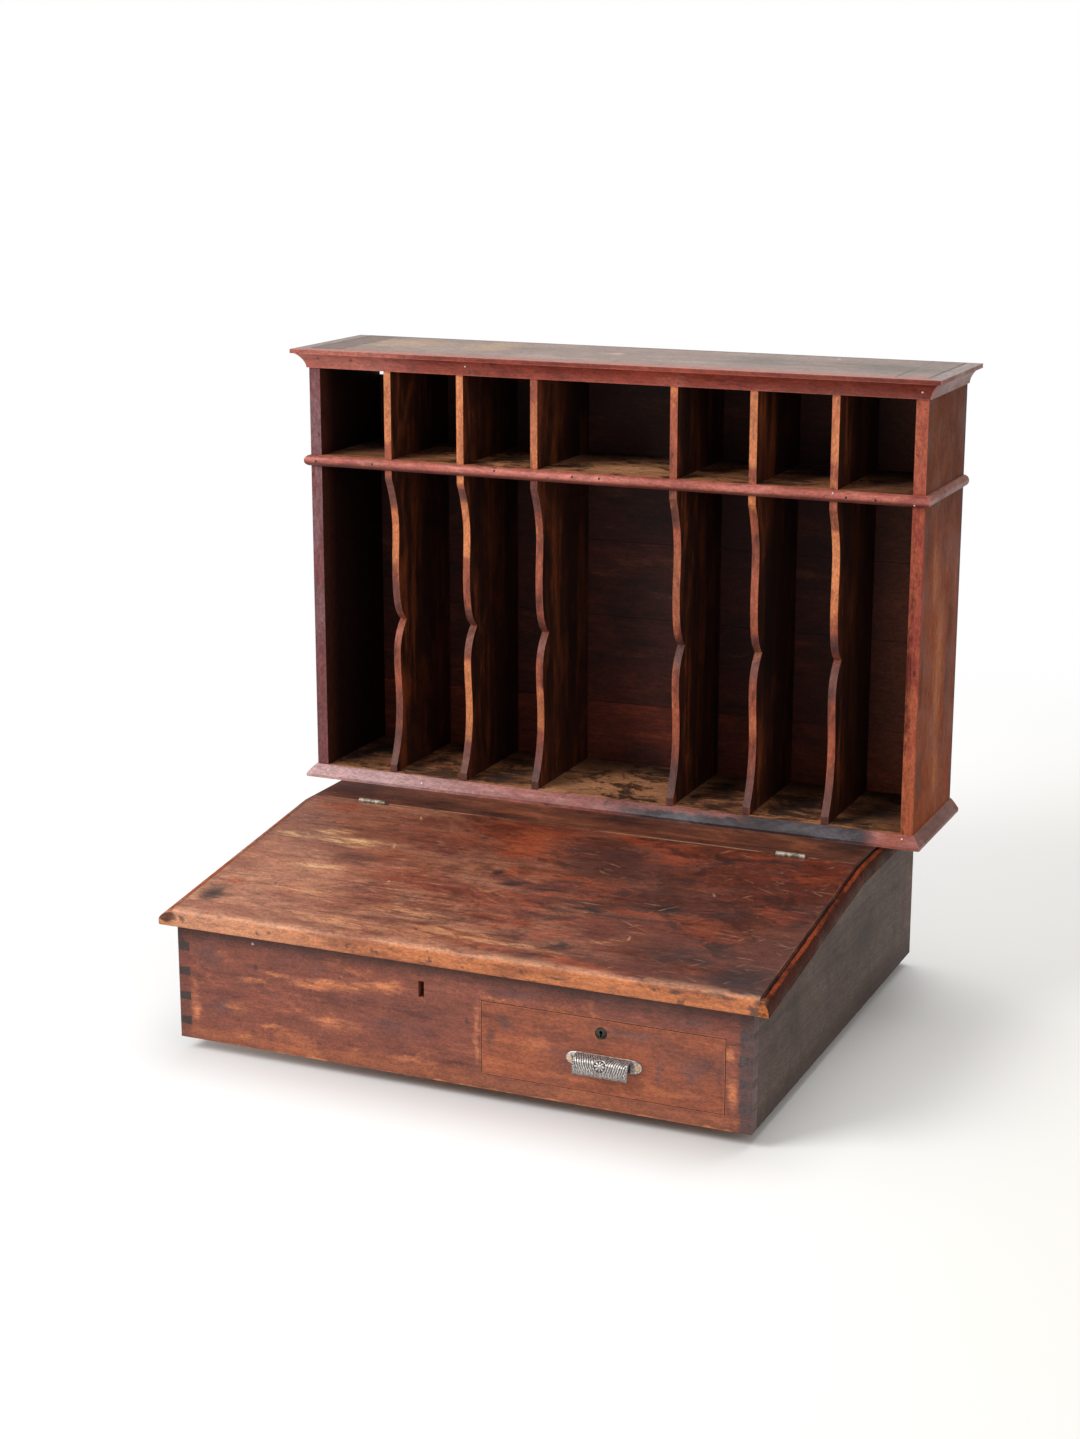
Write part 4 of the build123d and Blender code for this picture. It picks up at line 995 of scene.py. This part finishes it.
for along, sides in ((0, ("front",)), (1, ("left", "right"))):
    crown = moulding_material(
        f"crown_brick_{along}", 70 + along, along, (98, 33, 23), (138, 56, 40), (162, 78, 58),
        [
            ((320, 95, 735), (260, 60, 60), (80, 26, 18), 0.55),
            ((-330, 95, 735), (130, 60, 60), (186, 114, 100), 0.5),
        ],
    )
    bead = moulding_material(
        f"bead_brick_{along}", 74 + along, along, (124, 56, 46), (172, 92, 78), (200, 122, 106),
    )
    base = moulding_material(
        f"base_brick_{along}", 78 + along, along, (98, 48, 42), (140, 80, 73), (168, 106, 98),
        [((366, 104, 222), (26, 20, 16), (154, 78, 58), 0.8)] if along == 0 else (), along == 0,
    )
    for where in sides:
        dress(crown, f"crown_{where}")
        dress(bead, f"bead_{where}")
        dress(base, f"base_moulding_{where}")

brass = metal_material("brass_screws", 90, (188, 158, 120), (240, 214, 178), 0.42, 0.6)
dull_brass = metal_material("hinge_brass", 92, (104, 92, 80), (182, 170, 154), 0.5, 0.5)
black_brass = metal_material("escutcheon_black", 94, (34, 32, 28), (74, 70, 58), 0.5, 0.7)
iron = metal_material("lock_iron", 96, (40, 38, 36), (78, 74, 70), 0.55, 0.9)
nickel = metal_material("pull_plated", 98, (140, 132, 128), (214, 208, 204), 0.4, 0.7, 420)
# Dark metal for the relief's tarnished hollows, and painted shade inside the hood and on the plate under it.
tarnish_and_shade = metal_material("pull_tarnish_and_shade", 97, (44, 37, 35), (92, 83, 79), 0.6, 0.4, 420)
dull_nickel = metal_material("pull_rim", 95, (96, 88, 84), (150, 142, 138), 0.5, 0.6, 420)
nail_iron = metal_material("nail_heads", 99, (24, 20, 20), (52, 42, 40), 0.6, 0.5)
nail_bright = metal_material("nail_heads_bright", 100, (196, 186, 180), (236, 230, 226), 0.5, 0.2)
dress(brass, "pull_screws")
dress(black_brass, "drawer_escutcheon")
dress(dull_brass, "hinge_rail_leaves", "hinge_lid_leaves", "hinge_pins")
dress(iron, "lid_lock", "drawer_lock", "lid_lock_link_plate")

pull_pieces = [pull_hood(nickel, tarnish_and_shade), pull_plate(nickel, tarnish_and_shade), pull_rim(dull_nickel)]
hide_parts("drawer_pull")

nails = [
    nail_heads("crown_nail_heads", CROWN_NAILS, "crown_front", 0.0018, nail_iron),
    nail_heads("bead_nail_heads", BEAD_NAILS, "bead_front", 0.0018, nail_iron),
    nail_heads("crown_bright_nail_heads", BRIGHT_CROWN_NAILS, "crown_front", 0.0016, nail_bright),
    nail_heads("bead_bright_nail_heads", BRIGHT_BEAD_NAILS, "bead_front", 0.0014, nail_bright),
    nail_heads("base_bright_nail_heads", BRIGHT_BASE_NAILS, "base_moulding_front", 0.0016, nail_bright),
]


# -------------------- stage, light and camera
def floor_piece():
    mesh = bpy.data.meshes.new("floor")
    corners = [(x * FLOOR_REACH, y * FLOOR_REACH, 0) for x, y in ((-1, -1), (1, -1), (1, 1), (-1, 1))]
    mesh.from_pydata(corners, [], [(0, 1, 2, 3)])
    mesh.materials.append(floor_material())
    floor = add_object("floor", mesh)
    floor.location = (0, 0, -FLOOR_DROP)


def floor_material():
    """Pale floor near the desk that fades into plain white further off."""
    paint = Paint("floor_pale", 1)
    shade = paint.rise(0, 0.0, 0.9)
    paint.colour = paint.mix((246, 246, 245), (234, 232, 227), shade)
    paint.finish(0.8, 0.0, 0.2, flecks=0.0)
    moved = paint.vector("SUBTRACT", paint.place, SHADE_CENTRE)
    length = paint.vector("LENGTH", moved.outputs[0]).outputs["Value"]
    glow = paint.node("ShaderNodeEmission", (1, 1, 1, 1), 1.0)
    fade = paint.step(length, *SHADE_FADE)
    blend = paint.node("ShaderNodeMixShader", fade, paint.bsdf.outputs[0], glow.outputs[0])
    paint.put(blend.outputs[0], paint.tree.nodes["Material Output"].inputs["Surface"])
    return paint.material


def area_light(name, place, target, size, power):
    """A square lamp; place, target and size in metres, power in watts."""
    lamp = bpy.data.lights.new(name, "AREA")
    lamp.shape = "SQUARE"
    lamp.size = size
    lamp.energy = power
    made = add_object(name, lamp)
    made.location = place
    made.rotation_euler = (Vector(target) - Vector(place)).to_track_quat("-Z", "Y").to_euler()


def white_world():
    """White to the camera, a softer warm white as light."""
    world = bpy.data.worlds.new("studio_white")
    bpy.context.scene.world = world
    world.use_nodes = True
    tree = world.node_tree
    seen = tree.nodes["Background"]
    lit = tree.nodes.new("ShaderNodeBackground")
    for node, colour, strength in ((seen, (1, 1, 1, 1), 1.0), (lit, (1.0, 0.99, 0.98, 1), WORLD_LIGHT)):
        node.inputs["Color"].default_value = colour
        node.inputs["Strength"].default_value = strength
    path = tree.nodes.new("ShaderNodeLightPath")
    blend = tree.nodes.new("ShaderNodeMixShader")
    tree.links.new(path.outputs["Is Camera Ray"], blend.inputs[0])
    tree.links.new(lit.outputs[0], blend.inputs[1])
    tree.links.new(seen.outputs[0], blend.inputs[2])
    tree.links.new(blend.outputs[0], tree.nodes["World Output"].inputs["Surface"])


def photo_camera():
    """The camera that the photograph's straight edges were solved for."""
    data = bpy.data.cameras.new("photo_view")
    data.lens = CAMERA_LENS
    data.sensor_width = SENSOR_WIDTH
    data.clip_end = 60.0
    camera = add_object("photo_view", data)
    yaw = math.radians(CAMERA_YAW)
    pitch = math.radians(CAMERA_PITCH)
    right = Vector((math.cos(yaw), math.sin(yaw), 0))
    ahead = Vector((-math.sin(yaw) * math.cos(pitch), math.cos(yaw) * math.cos(pitch), -math.sin(pitch)))
    up = right.cross(ahead)
    turn = Matrix((right, up, -ahead)).transposed().to_4x4()
    camera.matrix_world = Matrix.Translation(Vector(CAMERA_PLACE)) @ turn
    bpy.context.scene.camera = camera


floor_piece()
white_world()
area_light("key", (-2.0, -2.3, 2.6), (0, 0, 0.3), 1.8, 95)
area_light("over", (0.2, 0.9, 3.0), (0, 0.1, 0.4), 2.4, 55)
area_light("fill", (2.6, -1.8, 1.4), (0, 0, 0.3), 2.0, 14)
photo_camera()
bpy.context.scene.view_settings.view_transform = "Standard"
